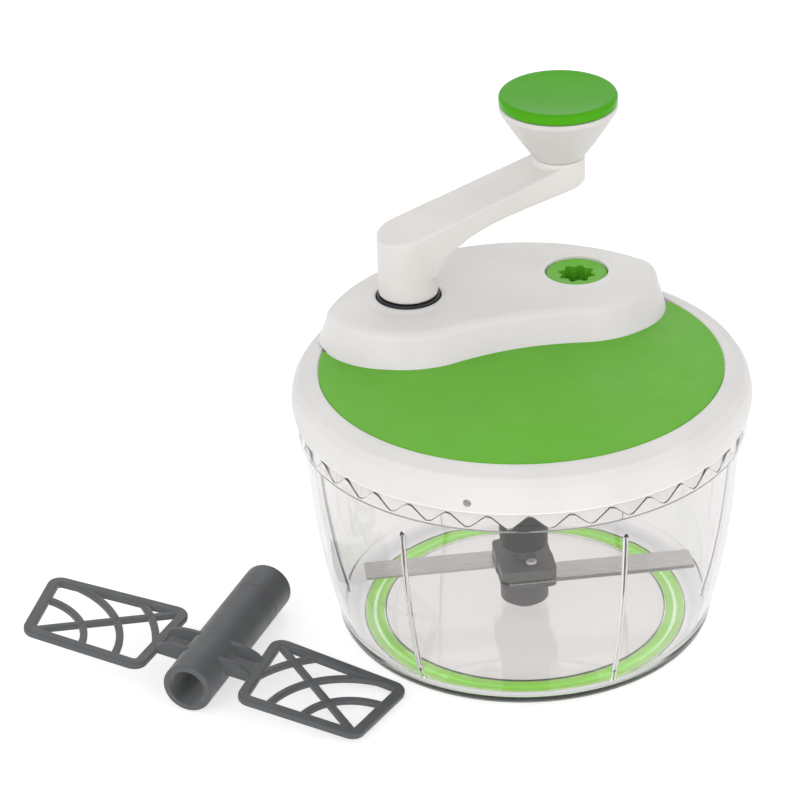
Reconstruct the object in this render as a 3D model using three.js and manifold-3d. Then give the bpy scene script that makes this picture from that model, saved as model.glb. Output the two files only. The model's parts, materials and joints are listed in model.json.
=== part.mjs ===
// A hand cranked food chopper: clear bowl, lid with a two speed gear train, crank with a turning knob,
// a two blade cutter and a spare whisk paddle. Millimetres, +Z up. The origin is on the bowl's axis at
// the surface that the foot rests on. +X is the photographed right and +Y points to the back.
import * as THREE from 'three';
import { mergeVertices } from 'three/addons/utils/BufferGeometryUtils.js';
import Module from 'manifold-3d';

const wasm = await Module();
wasm.setup();

const DEGREE = Math.PI / 180;
const FULL_TURN = 2 * Math.PI;
const HALF_TURN = Math.PI;

// Clearances and overruns that all pieces share
const SEAT = 0.3;
const RUN = 0.4;
const OVERRUN = 2;
const WELD = 0.2;

// Sides of round shapes
const LOCK_TEETH = 35;
const BIG_SIDES = 2 * LOCK_TEETH;
const ROUND_SIDES = 24;
const SMALL_SIDES = 12;
const PIN_SIDES = 8;
const HEX_SIDES = 6;
const LATTICE_SIDES = 36;
const WALL_STEPS = 3;
const CORNER_STEPS = 2;
const CURVE_STEPS = 4;
const HALF = 0.5;
const WELD_TOLERANCE = 1e-4;

// Bowl: the wall leans out from the heel to the shoulder, which carries a collar and a neck. The lock's
// zigzag stands on the shoulder's ledge
const BOWL_TOP_RADIUS = 90.1;
const BOWL_TAPER = 10.8;
const BOWL_HEEL_RADIUS = BOWL_TOP_RADIUS - BOWL_TAPER;
const BOWL_HEEL_ROUND = 9.5;
const BOWL_HEEL_HEIGHT = 9.5;
const BOWL_BASE_RADIUS = BOWL_HEEL_RADIUS - BOWL_HEEL_ROUND;
const BOWL_BULGE_RADIUS_SHARE = 0.926;
const BOWL_BULGE_HEIGHT_SHARE = 0.43;
const BOWL_WALL = 2.6;
const BOWL_FLOOR = 4;
const BOWL_INNER_CORNER = 8;
const SHOULDER_HEIGHT = 92.3;
const LOCK_LEDGE = 0.8;
const LOCK_TOOTH = 5;
const LOCK_TROUGH = SHOULDER_HEIGHT + LOCK_LEDGE;
const LOCK_CREST = LOCK_TROUGH + LOCK_TOOTH;
const LOCK_PHASE = 1.72 * DEGREE;
const COLLAR_STEP = 3;
const COLLAR_FLARE = 0.9;
const COLLAR_WALL = 1.5;
const COLLAR_ABOVE_LOCK = 3.9;
const COLLAR_LOW_RADIUS = BOWL_TOP_RADIUS + COLLAR_STEP;
const COLLAR_TOP_RADIUS = COLLAR_LOW_RADIUS + COLLAR_FLARE;
const COLLAR_TOP = LOCK_CREST + COLLAR_ABOVE_LOCK;
const NECK_INSET = 0.8;
const NECK_RISE = 3.6;
const NECK_RADIUS = BOWL_TOP_RADIUS - NECK_INSET;
const NECK_TOP = COLLAR_TOP + NECK_RISE;
const RIB_PAIRS = 3;
const RIB_PAIR_AZIMUTH = -3.2 * DEGREE;
const RIB_PAIR_ANGLE = 63.5 * DEGREE;
const RIB_WIDTH = 3.6;
const RIB_DEPTH = 2.6;
const RIB_ABOVE_HEEL = 1.5;
const RIB_BELOW_SHOULDER = 16.3;
const RIB_BOTTOM = BOWL_HEEL_HEIGHT + RIB_ABOVE_HEEL;
const RIB_TOP = SHOULDER_HEIGHT - RIB_BELOW_SHOULDER;

// Foot rings under the base
const FOOT_INSET = 1.5;
const FOOT_OUTER_RADIUS = BOWL_BASE_RADIUS - FOOT_INSET;
const FOOT_BAND = 3.3;
const FOOT_BAND_GAP = 1.4;
const FOOT_THICKNESS = 2;

// Cutter: hub, clamp, strips, screws and tube. Its blades point along the cutter's own X axis
const BLADE_AZIMUTH = 8.9 * DEGREE;
const HUB_RADIUS = 10.2;
const HUB_RISE = 4.9;
const HUB_HEIGHT = 12;
const HUB_BOTTOM = BOWL_FLOOR + HUB_RISE;
const BLADE_SEAT = HUB_BOTTOM + HUB_HEIGHT;
const BLADE_THICKNESS = 1;
const BLADE_WIDTH = 14;
const BLADE_OFFSET = 7.6;
const BLADE_FRONT_SPACE = 7.9;
const BLADE_REAR_SPACE = 11.7;
const BLADE_FRONT_TIP = BOWL_HEEL_RADIUS - BLADE_FRONT_SPACE;
const BLADE_REAR_TIP = BOWL_HEEL_RADIUS - BLADE_REAR_SPACE;
const BLADE_ROOT = -8.6;
const BLADE_EDGE_BEVEL = 1.2;
const BLADE_EDGE_SHARE = 0.3;
const LOBE_LONG = 12;
const LOBE_SHORT = 9.6;
const LOBE_REACH = 14.4;
const LOBE_PLATE = 2;
const CLAMP_THICKNESS = 4.6;
const CLAMP_BOTTOM = BLADE_SEAT + SEAT + BLADE_THICKNESS + SEAT;
const CLAMP_TOP = CLAMP_BOTTOM + CLAMP_THICKNESS;
const POST_RADIUS = 4.5;
const POST_IN_TUBE = 16.6;
const BLADE_SCREW_ALONG = 1.9;
const BLADE_SCREW_HEAD_RADIUS = 2.35;
const BLADE_SCREW_HEAD = 1.5;
const BLADE_SCREW_SHANK_RADIUS = 1.2;
const BLADE_SCREW_LENGTH = 11;
const TUBE_RADIUS = 10.2;
const TUBE_ABOVE_CLAMP = 6.3;
const TUBE_BOTTOM = CLAMP_TOP + TUBE_ABOVE_CLAMP;
const POST_TOP = TUBE_BOTTOM + POST_IN_TUBE;
const DRIVE_SOCKET_DEPTH = 12;

// Spindle in the middle of the bowl, with a boss round its foot
const SPINDLE_RADIUS = 2.5;
const SPINDLE_BELOW_BLADES = 1.4;
const SPINDLE_SINK = 2.2;
const SPINDLE_TOP = BLADE_SEAT - SPINDLE_BELOW_BLADES;
const SPINDLE_FLOOR = BOWL_FLOOR - SPINDLE_SINK;
const BOSS_WALL = 3.7;
const BOSS_RADIUS = SPINDLE_RADIUS + SEAT + BOSS_WALL;

// Lid: base plate, shell and insert. The shell's ring is a chain of steps up from the collar
const PLATE_DROP = 5.8;
const PLATE_BOTTOM = NECK_TOP - PLATE_DROP;
const PLATE_THICKNESS = 2;
const PLATE_GAP = 0.4;
const TUBE_BELOW_PLATE = 1.4;
const TUBE_TOP = PLATE_BOTTOM - TUBE_BELOW_PLATE;
const SPIGOT_WALL = 1.6;
const LID_OVERHANG = 1;
const LID_RADIUS = COLLAR_TOP_RADIUS + LID_OVERHANG;
const LID_LOW_INSET = 0.7;
const LID_SHOULDER_INSET = 1.1;
const LID_BROW_INSET = 3.4;
const LID_CREST_INSET = 8.2;
const LID_BOTTOM = COLLAR_TOP + RUN;
const LID_BELLY_RISE = 2.8;
const LID_BELLY = 3.4;
const LID_SHOULDER_RISE = 4.3;
const LID_BROW_RISE = 3.5;
const LID_CREST_RISE = 2.4;
const LID_BELLY_LOW = LID_BOTTOM + LID_BELLY_RISE;
const LID_BELLY_HIGH = LID_BELLY_LOW + LID_BELLY;
const LID_SHOULDER_HEIGHT = LID_BELLY_HIGH + LID_SHOULDER_RISE;
const LID_BROW_HEIGHT = LID_SHOULDER_HEIGHT + LID_BROW_RISE;
const LID_CREST_HEIGHT = LID_BROW_HEIGHT + LID_CREST_RISE;
const INSERT_INSET = 11.4;
const INSERT_RADIUS = LID_RADIUS - INSERT_INSET;
const INSERT_BAND = 28.6;
const INSERT_CREASE_RADIUS = INSERT_RADIUS - INSERT_BAND;
const INSERT_BELOW_CREST = 0.2;
const INSERT_BAND_RISE = 2.1;
const INSERT_CROWN_RISE = 0.6;
const INSERT_EDGE_TOP = LID_CREST_HEIGHT - INSERT_BELOW_CREST;
const INSERT_CREASE_TOP = INSERT_EDGE_TOP + INSERT_BAND_RISE;
const INSERT_CROWN = INSERT_CREASE_TOP + INSERT_CROWN_RISE;
const VENT_AZIMUTH = -13.2 * DEGREE;
const VENT_RISE = 3.8;
const VENT_RADIUS = 0.9;
const VENT_DEPTH = 2.5;

// Gears on two levels. The train fills the lid, so its module and places follow the lid's radius
const MODULE_SHARE = 1 / 95;
const MODULE = LID_RADIUS * MODULE_SHARE;
const inModules = (shares) => shares.map((share) => share * MODULE);
const FAST_PLACE_SHARES = [-46.5, 30.7];
const SLOW_PLACE_SHARES = [24, 50.9];
const COMPOUND_PLACE_SHARES = [-17.1, 28.2];
const FAST_PLACE = inModules(FAST_PLACE_SHARES);
const SLOW_PLACE = inModules(SLOW_PLACE_SHARES);
const COMPOUND_PLACE = inModules(COMPOUND_PLACE_SHARES);
const ADDENDUM_SHARE = 0.9;
const DEDENDUM_SHARE = 1.25;
const ADDENDUM = MODULE * ADDENDUM_SHARE;
const DEDENDUM = MODULE * DEDENDUM_SHARE;
const PRESSURE_ANGLE = 20 * DEGREE;
const BACKLASH = 0.3;
const FAST_TEETH = 40;
const PINION_TEETH = 19;
const WHEEL_TEETH = 50;
const SLOW_TEETH = 44;
const OUTPUT_TEETH = 16;
const GEAR_ROOM = 2;
const GEAR_FACE = 5;
const GEAR_ABOVE_PLATE = 2.4;
const LEVEL_GAP = 1;
const LOW_LEVEL = PLATE_BOTTOM + PLATE_THICKNESS + GEAR_ABOVE_PLATE;
const HIGH_LEVEL = LOW_LEVEL + GEAR_FACE + LEVEL_GAP;
const DECK_ABOVE_LOW_GEARS = 4.8;
const DECK_THICKNESS = 2.3;
const DECK_BOTTOM = LOW_LEVEL + GEAR_FACE + DECK_ABOVE_LOW_GEARS;
const DECK_TOP = DECK_BOTTOM + DECK_THICKNESS;
const AXLE_RADIUS = 3;
const AXLE_WALL = 2.7;
const PLATE_BOSS_RADIUS = AXLE_RADIUS + SEAT + AXLE_WALL;
const FAST_AXLE_RADIUS = 2.4;
const FAST_AXLE_SHOULDER = 0.8;
const FAST_AXLE_SHOULDER_RADIUS = FAST_AXLE_RADIUS + FAST_AXLE_SHOULDER;
const AXLE_FLOOR = 1;
const AXLE_ABOVE_GEARS = 2.6;
const AXLE_TOP = HIGH_LEVEL + GEAR_FACE + AXLE_ABOVE_GEARS;
const OUTPUT_SHAFT_RADIUS = 5.2;
const OUTPUT_HEX_RADIUS = 6.4;
const HEX_END_SPACE = 2.2;
const OUTPUT_HEX_BOTTOM = TUBE_TOP - DRIVE_SOCKET_DEPTH + HEX_END_SPACE;
const OUTPUT_STUB_RADIUS = 3;
const STUB_BELOW_DECK = 1.4;
const OUTPUT_STUB_TOP = DECK_BOTTOM - STUB_BELOW_DECK;
const STUB_BOSS_WALL = 2.1;
const STUB_BOSS_RADIUS = OUTPUT_STUB_RADIUS + SEAT + STUB_BOSS_WALL;
const STUB_BOSS_DROP = 4;
const BUSH_WALL = 2.6;
const BUSH_FLANGE_REACH = 1.9;
const BUSH_RADIUS = OUTPUT_SHAFT_RADIUS + SEAT + BUSH_WALL;
const BUSH_FLANGE_RADIUS = BUSH_RADIUS + BUSH_FLANGE_REACH;
const BUSH_FLANGE = 1.5;

// The gear housing, whose two lobes run past the lid's back edge before its corners round them off
const HOUSING_BACK_INSET = 6.8;
const HOUSING_BACK_RADIUS = LID_RADIUS - HOUSING_BACK_INSET;
const FAST_LOBE_PAST_EDGE = 6.5;
const SLOW_LOBE_PAST_EDGE = 5.6;
const lobeRadius = (place, pastEdge) => HOUSING_BACK_RADIUS - Math.hypot(...place) + pastEdge;
const HOUSING_FAST_RADIUS = lobeRadius(FAST_PLACE, FAST_LOBE_PAST_EDGE);
const HOUSING_SLOW_RADIUS = lobeRadius(SLOW_PLACE, SLOW_LOBE_PAST_EDGE);
const HOUSING_WAIST_RADIUS = 120;
const HOUSING_CORNER_RADIUS = 14;
const HOUSING_HEIGHT = 18.2;
const HOUSING_TOP = DECK_TOP + HOUSING_HEIGHT;
const HOUSING_WALL = 2.4;
const HOUSING_LOBE_STEPS = 14;
const HOUSING_WAIST_STEPS = 3;
const HOUSING_CORNER_STEPS = 4;
const HOUSING_BACK_STEPS = 9;
const HOUSING_EDGE_INSET = 3.2;
const HOUSING_FILLET = 4.6;
const HOUSING_BACK_EDGE_INSET = 4.2;
const FILLET_STEP_SHARES = [0, 0.4, 0.8];
const LIP_WIDTH = 1.9;
const LIP_HEIGHT = 0.6;

// Drive sockets, whose star hole takes the crank's plug
const COLUMN_RADIUS = 12.7;
const RING_SHOWN = 0.95;
const FAST_SOCKET_RADIUS = COLUMN_RADIUS + RING_SHOWN;
const SLOW_SOCKET_RADIUS = 13;
const SOCKET_DISC = 3;
const STAR_LOBES = 8;
const STAR_RADIUS = 7.1;
const STAR_LOBE_HEIGHT = 0.95;
const STAR_STEPS_PER_LOBE = 4;
const STAR_CLEARANCE = 0.35;
const STAR_FLOOR = 3.2;
const STAR_WALL = 1.95;
const SOCKET_TUBE_RADIUS = STAR_RADIUS + STAR_LOBE_HEIGHT + STAR_WALL;
const SOCKET_FLOOR = AXLE_TOP + STAR_FLOOR;

// Screws that hold the base plate and the housing
const PLATE_SCREW_INSET = 6.5;
const PLATE_SCREW_AZIMUTHS = [-90, -10, 105, 190].map((angle) => angle * DEGREE);
const PLATE_SCREW_BOSS = 4;
const PLATE_SCREW_HEAD_RADIUS = 3.1;
const PLATE_SCREW_HEAD = 1.5;
const PLATE_SCREW_SHANK_RADIUS = 1.2;
const PLATE_SCREW_LENGTH = 10;
const HOUSING_SCREW_PLACE_SHARES = [[-74, 20.5], [50, 38], [-10, 68]];
const HOUSING_SCREW_PLACES = HOUSING_SCREW_PLACE_SHARES.map(inModules);
const HOUSING_SCREW_BOSS = 3.6;
const HOUSING_SCREW_LENGTH = 13;

// Crank, in its own frame: the arm points along X, Z is measured from the ground
const ARM_AZIMUTH = 30 * DEGREE;
const ARM_LENGTH = 73.5;
const COLUMN_BOTTOM = HOUSING_TOP + SEAT;
const COLUMN_HEIGHT = 31.2;
const ARM_CLIMB = 16;
const ARM_END_RADIUS = 10.8;
const ARM_TOP_AT_COLUMN = COLUMN_BOTTOM + COLUMN_HEIGHT;
const ARM_TOP_AT_KNOB = ARM_TOP_AT_COLUMN + ARM_CLIMB;
const ARM_THICKNESS_AT_COLUMN = 6.2;
const ARM_THICKNESS_AT_KNOB = 11.9;
const ARM_END_BLEND = 12;
const KNOB_PAD_RISE = 0.9;
const KNOB_PAD_TOP = ARM_TOP_AT_KNOB + KNOB_PAD_RISE;
const HAUNCH_DROP = 19.7;
const HAUNCH_FOOT = ARM_TOP_AT_COLUMN - HAUNCH_DROP;
const HAUNCH_REACH = 37;
const HAUNCH_START_SHARE = 0.63;
const PLUG_DISC_INSET = 3.7;
const PLUG_DISC_RADIUS = COLUMN_RADIUS - PLUG_DISC_INSET;
const PLUG_DISC = 2.4;
const PLUG_END_SPACE = 1.2;
const PLUG_BOTTOM = SOCKET_FLOOR + PLUG_END_SPACE;
const SPLINE_SCREW_RADIUS = 1.6;
const SPLINE_SCREW_HEAD_RADIUS = 3;
const SPLINE_SCREW_HEAD = 2;
const SPLINE_SCREW_LENGTH = 22;

// Knob, on the arm's end
const KNOB_NECK_INSET = 0.2;
const KNOB_NECK_RADIUS = ARM_END_RADIUS - KNOB_NECK_INSET;
const KNOB_RIM_RADIUS = 24.9;
const KNOB_FLARE_HEIGHT = 21.6;
const KNOB_RIM_HEIGHT = 2.4;
const KNOB_RIM_BOTTOM = KNOB_PAD_TOP + KNOB_FLARE_HEIGHT;
const KNOB_RIM_TOP = KNOB_RIM_BOTTOM + KNOB_RIM_HEIGHT;
const KNOB_WALL = 2.2;
const KNOB_HUB_RADIUS = 6;
const KNOB_HUB_DROP = 5.8;
const KNOB_HUB_TOP = KNOB_RIM_BOTTOM - KNOB_HUB_DROP;
const KNOB_FLARE_SHARE = 0.56;
const KNOB_PIN_RADIUS = 3;
const KNOB_PIN_HEAD_RADIUS = 5;
const KNOB_PIN_HEAD = 2.2;
const KNOB_PIN_DEPTH = 9.7;
const KNOB_PIN_BOTTOM = KNOB_PAD_TOP - KNOB_PIN_DEPTH;
const CAP_OVERHANG = 0.1;
const CAP_RADIUS = KNOB_RIM_RADIUS + CAP_OVERHANG;
const CAP_THICKNESS = 2.7;
const CAP_EDGE_RADIUS_SHARE = 0.965;
const CAP_SHOULDER_SHARE = 0.85;
const CAP_DISH = 0.7;
const CAP_RIDGE_SHARE = 0.84;
const CAP_PLUG_DROP = 2;

// Spare paddle, in its own frame: the tube runs along Y from its open end, the frames lie along X
const PADDLE_TUBE_RADIUS = 10.7;
const PADDLE_APART = 59.1;
const PADDLE_FORWARD = 76.7;
const PADDLE_LIE = 0.25;
const PADDLE_PLACE = [
  -(BOWL_HEEL_RADIUS + PADDLE_APART),
  -PADDLE_FORWARD,
  PADDLE_TUBE_RADIUS + PADDLE_LIE,
];
const PADDLE_TILT = 8 * DEGREE;
const PADDLE_HEADING = -19.9 * DEGREE;
const PADDLE_BORE_RADIUS = 7.9;
const PADDLE_TUBE_LENGTH = 67.3;
const PADDLE_BORE_FLOOR = 7.3;
const PADDLE_BORE_DEPTH = PADDLE_TUBE_LENGTH - PADDLE_BORE_FLOOR;
const PADDLE_RIM_CHAMFER = 0.9;
const COUPLER_LENGTH = 17;
const COUPLER_END_ROUND = 1;
const FRAME_RISE = 2.2;
const FRAME_THICKNESS = 3;
const FRAME_BAR = 4;
const LATTICE_BAR = 3;
const FRAME_CORNER_RADIUS = 6;
const FRAME_INNER_TOP = [19.8, 47.6];
const FRAME_OUTER_TOP = [82, 42];
const FRAME_OUTER_BOTTOM = [75.6, -0.6];
const FRAME_INNER_BOTTOM = [22.2, -0.4];
const LATTICE_RADIUS_SHARES = [0.35, 0.55, 0.75];
const WEB_LOW = 14.5;
const WEB_HIGH = 29;
const WEB_THICKNESS = 1.8;
const WEB_REACH = 24;
const FIN_THICKNESS = 2.2;
const FIN_RISE = 6.2;

// Colours and finishes
const CLEAR = { color: 0xe8ecec, roughness: 0.06, metalness: 0, transparent: true, opacity: 0.3 };
const WHITE = { color: 0xe6e5e4, roughness: 0.35, metalness: 0 };
const GREEN = { color: 0x70ba3e, roughness: 0.45, metalness: 0 };
const GREEN_CAP = { color: 0x63ad3d, roughness: 0.35, metalness: 0 };
const DARK = { color: 0x303236, roughness: 0.4, metalness: 0 };
const GREY = { color: 0x646564, roughness: 0.45, metalness: 0 };
const PADDLE_GREY = { color: 0x54575a, roughness: 0.5, metalness: 0 };
const NATURAL = { color: 0xdedcd2, roughness: 0.5, metalness: 0 };
const STEEL = { color: 0xacaaa9, roughness: 0.3, metalness: 1 };

// Closed meshes and booleans

// A three.js geometry as one closed mesh: shared vertices, no flat triangles, faces outward.
function closed(geometry) {
  geometry.deleteAttribute('normal');
  geometry.deleteAttribute('uv');
  const merged = mergeVertices(geometry, WELD_TOLERANCE);
  const source = merged.getIndex().array;
  const kept = [];
  for (let i = 0; i < source.length; i += 3) {
    const [a, b, c] = [source[i], source[i + 1], source[i + 2]];
    if (a !== b && b !== c && c !== a) kept.push(a, b, c);
  }
  merged.setIndex(kept);
  if (signedVolume(merged) < 0) kept.reverse();
  merged.setIndex(kept);
  return merged;
}

function signedVolume(geometry) {
  const place = geometry.getAttribute('position');
  const index = geometry.getIndex().array;
  const [a, b, c] = [new THREE.Vector3(), new THREE.Vector3(), new THREE.Vector3()];
  let total = 0;
  for (let i = 0; i < index.length; i += 3) {
    a.fromBufferAttribute(place, index[i]);
    b.fromBufferAttribute(place, index[i + 1]);
    c.fromBufferAttribute(place, index[i + 2]);
    total += a.dot(b.cross(c));
  }
  return total;
}

function toSolid(geometry) {
  const mesh = closed(geometry);
  return new wasm.Manifold(new wasm.Mesh({
    numProp: 3,
    vertProperties: new Float32Array(mesh.getAttribute('position').array),
    triVerts: new Uint32Array(mesh.getIndex().array),
  }));
}

function fromSolid(solid) {
  const mesh = solid.getMesh();
  const geometry = new THREE.BufferGeometry();
  const places = new Float32Array(mesh.numVert * 3);
  for (let i = 0; i < mesh.numVert; i += 1) {
    for (let axis = 0; axis < 3; axis += 1) {
      places[3 * i + axis] = mesh.vertProperties[mesh.numProp * i + axis];
    }
  }
  geometry.setAttribute('position', new THREE.BufferAttribute(places, 3));
  geometry.setIndex(Array.from(mesh.triVerts));
  return geometry;
}

const join = (first, ...others) => others.reduce((whole, next) => whole.add(next), first);
const cut = (first, ...others) => others.reduce((whole, next) => whole.subtract(next), first);

// Outlines and basic solids

const polar = (radius, angle, centre = [0, 0]) => [
  centre[0] + radius * Math.cos(angle),
  centre[1] + radius * Math.sin(angle),
];

function arc(centre, radius, start, end, steps) {
  const points = [];
  for (let i = 0; i <= steps; i += 1) {
    points.push(polar(radius, start + ((end - start) * i) / steps, centre));
  }
  return points;
}

const circle = (radius, sides, centre = [0, 0]) =>
  arc(centre, radius, 0, FULL_TURN * (1 - 1 / sides), sides - 1);

function bend(start, control, end, steps) {
  const curve = new THREE.QuadraticBezierCurve(
    new THREE.Vector2(...start),
    new THREE.Vector2(...control),
    new THREE.Vector2(...end),
  );
  return curve.getPoints(steps).map((point) => [point.x, point.y]);
}

// A prism between two heights over an outline in the XY plane
function prism(outline, bottom, top) {
  const shape = new THREE.Shape(outline.map(([x, y]) => new THREE.Vector2(x, y)));
  const geometry = new THREE.ExtrudeGeometry(shape, {
    depth: top - bottom,
    bevelEnabled: false,
    steps: 1,
  });
  geometry.translate(0, 0, bottom);
  return toSolid(geometry);
}

const cylinder = (radius, bottom, top, sides = SMALL_SIDES, centre = [0, 0]) =>
  prism(circle(radius, sides, centre), bottom, top);

// A solid of revolution about Z. The profile holds [radius, height] pairs, from axis to axis or closed.
// A third value is the height on every other step, which makes a zigzag edge
function revolve(profile, sides, centre = [0, 0]) {
  const points = profile.map(([radius, height]) => new THREE.Vector2(radius, height));
  const geometry = new THREE.LatheGeometry(points, sides);
  const places = geometry.getAttribute('position');
  for (let step = 1; step < sides; step += 2) {
    profile.forEach(([, , otherHeight], i) => {
      if (otherHeight !== undefined) places.setY(step * profile.length + i, otherHeight);
    });
  }
  geometry.rotateX(HALF_TURN / 2);
  geometry.translate(centre[0], centre[1], 0);
  return toSolid(geometry);
}

const closeProfile = (profile) => [...profile, profile[0]];

const washer = (inner, outer, bottom, top, sides, centre) => revolve(
  closeProfile([[inner, bottom], [outer, bottom], [outer, top], [inner, top]]),
  sides,
  centre,
);

// A stack of outlines with equal point counts, skinned into one solid
function loft(levels) {
  const count = levels[0].outline.length;
  const places = [];
  const index = [];
  levels.forEach(({ outline, height }) => outline.forEach(([x, y]) => places.push(x, y, height)));
  for (let level = 0; level < levels.length - 1; level += 1) {
    for (let i = 0; i < count; i += 1) {
      const a = level * count + i;
      const b = level * count + ((i + 1) % count);
      index.push(a, b, b + count, a, b + count, a + count);
    }
  }
  const capOf = (level) => THREE.ShapeUtils.triangulateShape(
    levels[level].outline.map(([x, y]) => new THREE.Vector2(x, y)),
    [],
  );
  const last = levels.length - 1;
  capOf(0).forEach(([a, b, c]) => index.push(a, c, b));
  capOf(last).forEach(([a, b, c]) => index.push(last * count + a, last * count + b, last * count + c));
  const geometry = new THREE.BufferGeometry();
  geometry.setAttribute('position', new THREE.Float32BufferAttribute(places, 3));
  geometry.setIndex(index);
  return toSolid(geometry);
}

// A point where two circles meet, on the chosen side of the line between their centres
function circlesMeet(first, firstRadius, second, secondRadius, side) {
  const gap = Math.hypot(second[0] - first[0], second[1] - first[1]);
  const along = (firstRadius ** 2 - secondRadius ** 2 + gap ** 2) / (2 * gap);
  const across = side * Math.sqrt(firstRadius ** 2 - along ** 2);
  const unit = [(second[0] - first[0]) / gap, (second[1] - first[1]) / gap];
  return [
    first[0] + along * unit[0] - across * unit[1],
    first[1] + along * unit[1] + across * unit[0],
  ];
}

const angleTo = (from, to) => Math.atan2(to[1] - from[1], to[0] - from[0]);

// The star shaped outline of the drive sockets and of the crank's plug
function starOutline(shrink, centre = [0, 0], turn = 0) {
  const steps = STAR_LOBES * STAR_STEPS_PER_LOBE;
  return Array.from({ length: steps }, (_, i) => {
    const angle = (FULL_TURN * i) / steps;
    const radius = STAR_RADIUS - shrink + STAR_LOBE_HEIGHT * Math.cos(STAR_LOBES * angle);
    return polar(radius, angle + turn, centre);
  });
}

// Gear outlines: involute tooth widths at root and tip, joined by straight flanks
const pitchRadius = (teeth) => (MODULE * teeth) / 2;
const involute = (angle) => Math.tan(angle) - angle;

function toothHalfAngle(teeth, radius) {
  const pitch = pitchRadius(teeth);
  const base = pitch * Math.cos(PRESSURE_ANGLE);
  const slope = radius > base ? Math.acos(base / radius) : 0;
  const thickness = (HALF_TURN * MODULE) / 2 - BACKLASH;
  return thickness / (2 * pitch) + involute(PRESSURE_ANGLE) - involute(slope);
}

function gearOutline(teeth, phase, centre) {
  const rootRadius = pitchRadius(teeth) - DEDENDUM;
  const tipRadius = pitchRadius(teeth) + ADDENDUM;
  const rootHalf = toothHalfAngle(teeth, rootRadius);
  const tipHalf = toothHalfAngle(teeth, tipRadius);
  const points = [];
  for (let i = 0; i < teeth; i += 1) {
    const middle = phase + (FULL_TURN * i) / teeth;
    points.push(polar(rootRadius, middle - rootHalf, centre));
    points.push(polar(tipRadius, middle - tipHalf, centre));
    points.push(polar(tipRadius, middle + tipHalf, centre));
    points.push(polar(rootRadius, middle + rootHalf, centre));
  }
  return points;
}

// The phase that sets a gear's gap against its neighbour's tooth
function meshPhase(place, teeth, neighbourPlace, neighbourTeeth, neighbourPhase) {
  const towards = angleTo(neighbourPlace, place);
  const neighbourPitch = FULL_TURN / neighbourTeeth;
  const passed = (towards - neighbourPhase) / neighbourPitch;
  const share = passed - Math.floor(passed);
  return towards + HALF_TURN - (FULL_TURN / teeth) * (HALF - share);
}

// Bowl

const wallCurve = (inset) => {
  const control = [
    BOWL_HEEL_RADIUS + (BOWL_TOP_RADIUS - BOWL_HEEL_RADIUS) * BOWL_BULGE_RADIUS_SHARE - inset,
    BOWL_HEEL_HEIGHT + (SHOULDER_HEIGHT - BOWL_HEEL_HEIGHT) * BOWL_BULGE_HEIGHT_SHARE,
  ];
  const low = [BOWL_HEEL_RADIUS - inset, BOWL_HEEL_HEIGHT];
  const high = [BOWL_TOP_RADIUS - inset, SHOULDER_HEIGHT];
  return bend(low, control, high, WALL_STEPS);
};

const collarInner = COLLAR_LOW_RADIUS - COLLAR_WALL;
const neckInner = BOWL_TOP_RADIUS - BOWL_WALL;
const footGroove = {
  outer: FOOT_OUTER_RADIUS + SEAT,
  inner: FOOT_OUTER_RADIUS - 2 * FOOT_BAND - FOOT_BAND_GAP - 2 * SEAT,
  depth: FOOT_THICKNESS + SEAT,
};

function bowlProfile() {
  const inside = wallCurve(BOWL_WALL).reverse().slice(0, -1);
  const foot = inside[inside.length - 1];
  const corner = bend(
    foot,
    [BOWL_HEEL_RADIUS - BOWL_WALL, BOWL_FLOOR],
    [BOWL_HEEL_RADIUS - BOWL_WALL - BOWL_INNER_CORNER, BOWL_FLOOR],
    CORNER_STEPS,
  ).slice(1);
  return [
    [0, 0],
    [footGroove.inner, 0],
    [footGroove.inner, footGroove.depth],
    [footGroove.outer, footGroove.depth],
    [footGroove.outer, 0],
    ...bend(
      [BOWL_BASE_RADIUS, 0],
      [BOWL_HEEL_RADIUS, 0],
      [BOWL_HEEL_RADIUS, BOWL_HEEL_HEIGHT],
      CORNER_STEPS,
    ),
    ...wallCurve(0).slice(1),
    [COLLAR_LOW_RADIUS, SHOULDER_HEIGHT],
    [COLLAR_TOP_RADIUS, COLLAR_TOP],
    [COLLAR_TOP_RADIUS - COLLAR_WALL, COLLAR_TOP],
    [collarInner, LOCK_CREST, LOCK_TROUGH],
    [NECK_RADIUS, LOCK_CREST, LOCK_TROUGH],
    [NECK_RADIUS, NECK_TOP],
    [neckInner, NECK_TOP],
    ...inside,
    ...corner,
    [BOSS_RADIUS, BOWL_FLOOR],
    [BOSS_RADIUS, HUB_BOTTOM - SEAT],
    [0, HUB_BOTTOM - SEAT],
  ];
}

// One rib inside the wall, as a plate that stands on the wall and has a rounded top
function rib() {
  const wall = wallCurve(BOWL_WALL / 2);
  const wallRadius = (height) => {
    const above = Math.max(1, wall.findIndex((point) => point[1] >= height));
    const [low, high] = [wall[above - 1], wall[above]];
    return low[0] + ((high[0] - low[0]) * (height - low[1])) / (high[1] - low[1]);
  };
  const innerEdge = (height) => wallRadius(height) - BOWL_WALL / 2 - RIB_DEPTH;
  const middle = (RIB_BOTTOM + RIB_TOP) / 2;
  const outline = [
    [wallRadius(RIB_BOTTOM), RIB_BOTTOM],
    [wallRadius(middle), middle],
    [wallRadius(RIB_TOP), RIB_TOP],
    [innerEdge(RIB_TOP) + RIB_DEPTH / 2, RIB_TOP],
    [innerEdge(RIB_TOP), RIB_TOP - RIB_DEPTH],
    [innerEdge(middle), middle],
    [innerEdge(RIB_BOTTOM), RIB_BOTTOM],
  ];
  return prism(outline, -RIB_WIDTH / 2, RIB_WIDTH / 2).rotate([90, 0, 0]);
}

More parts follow.
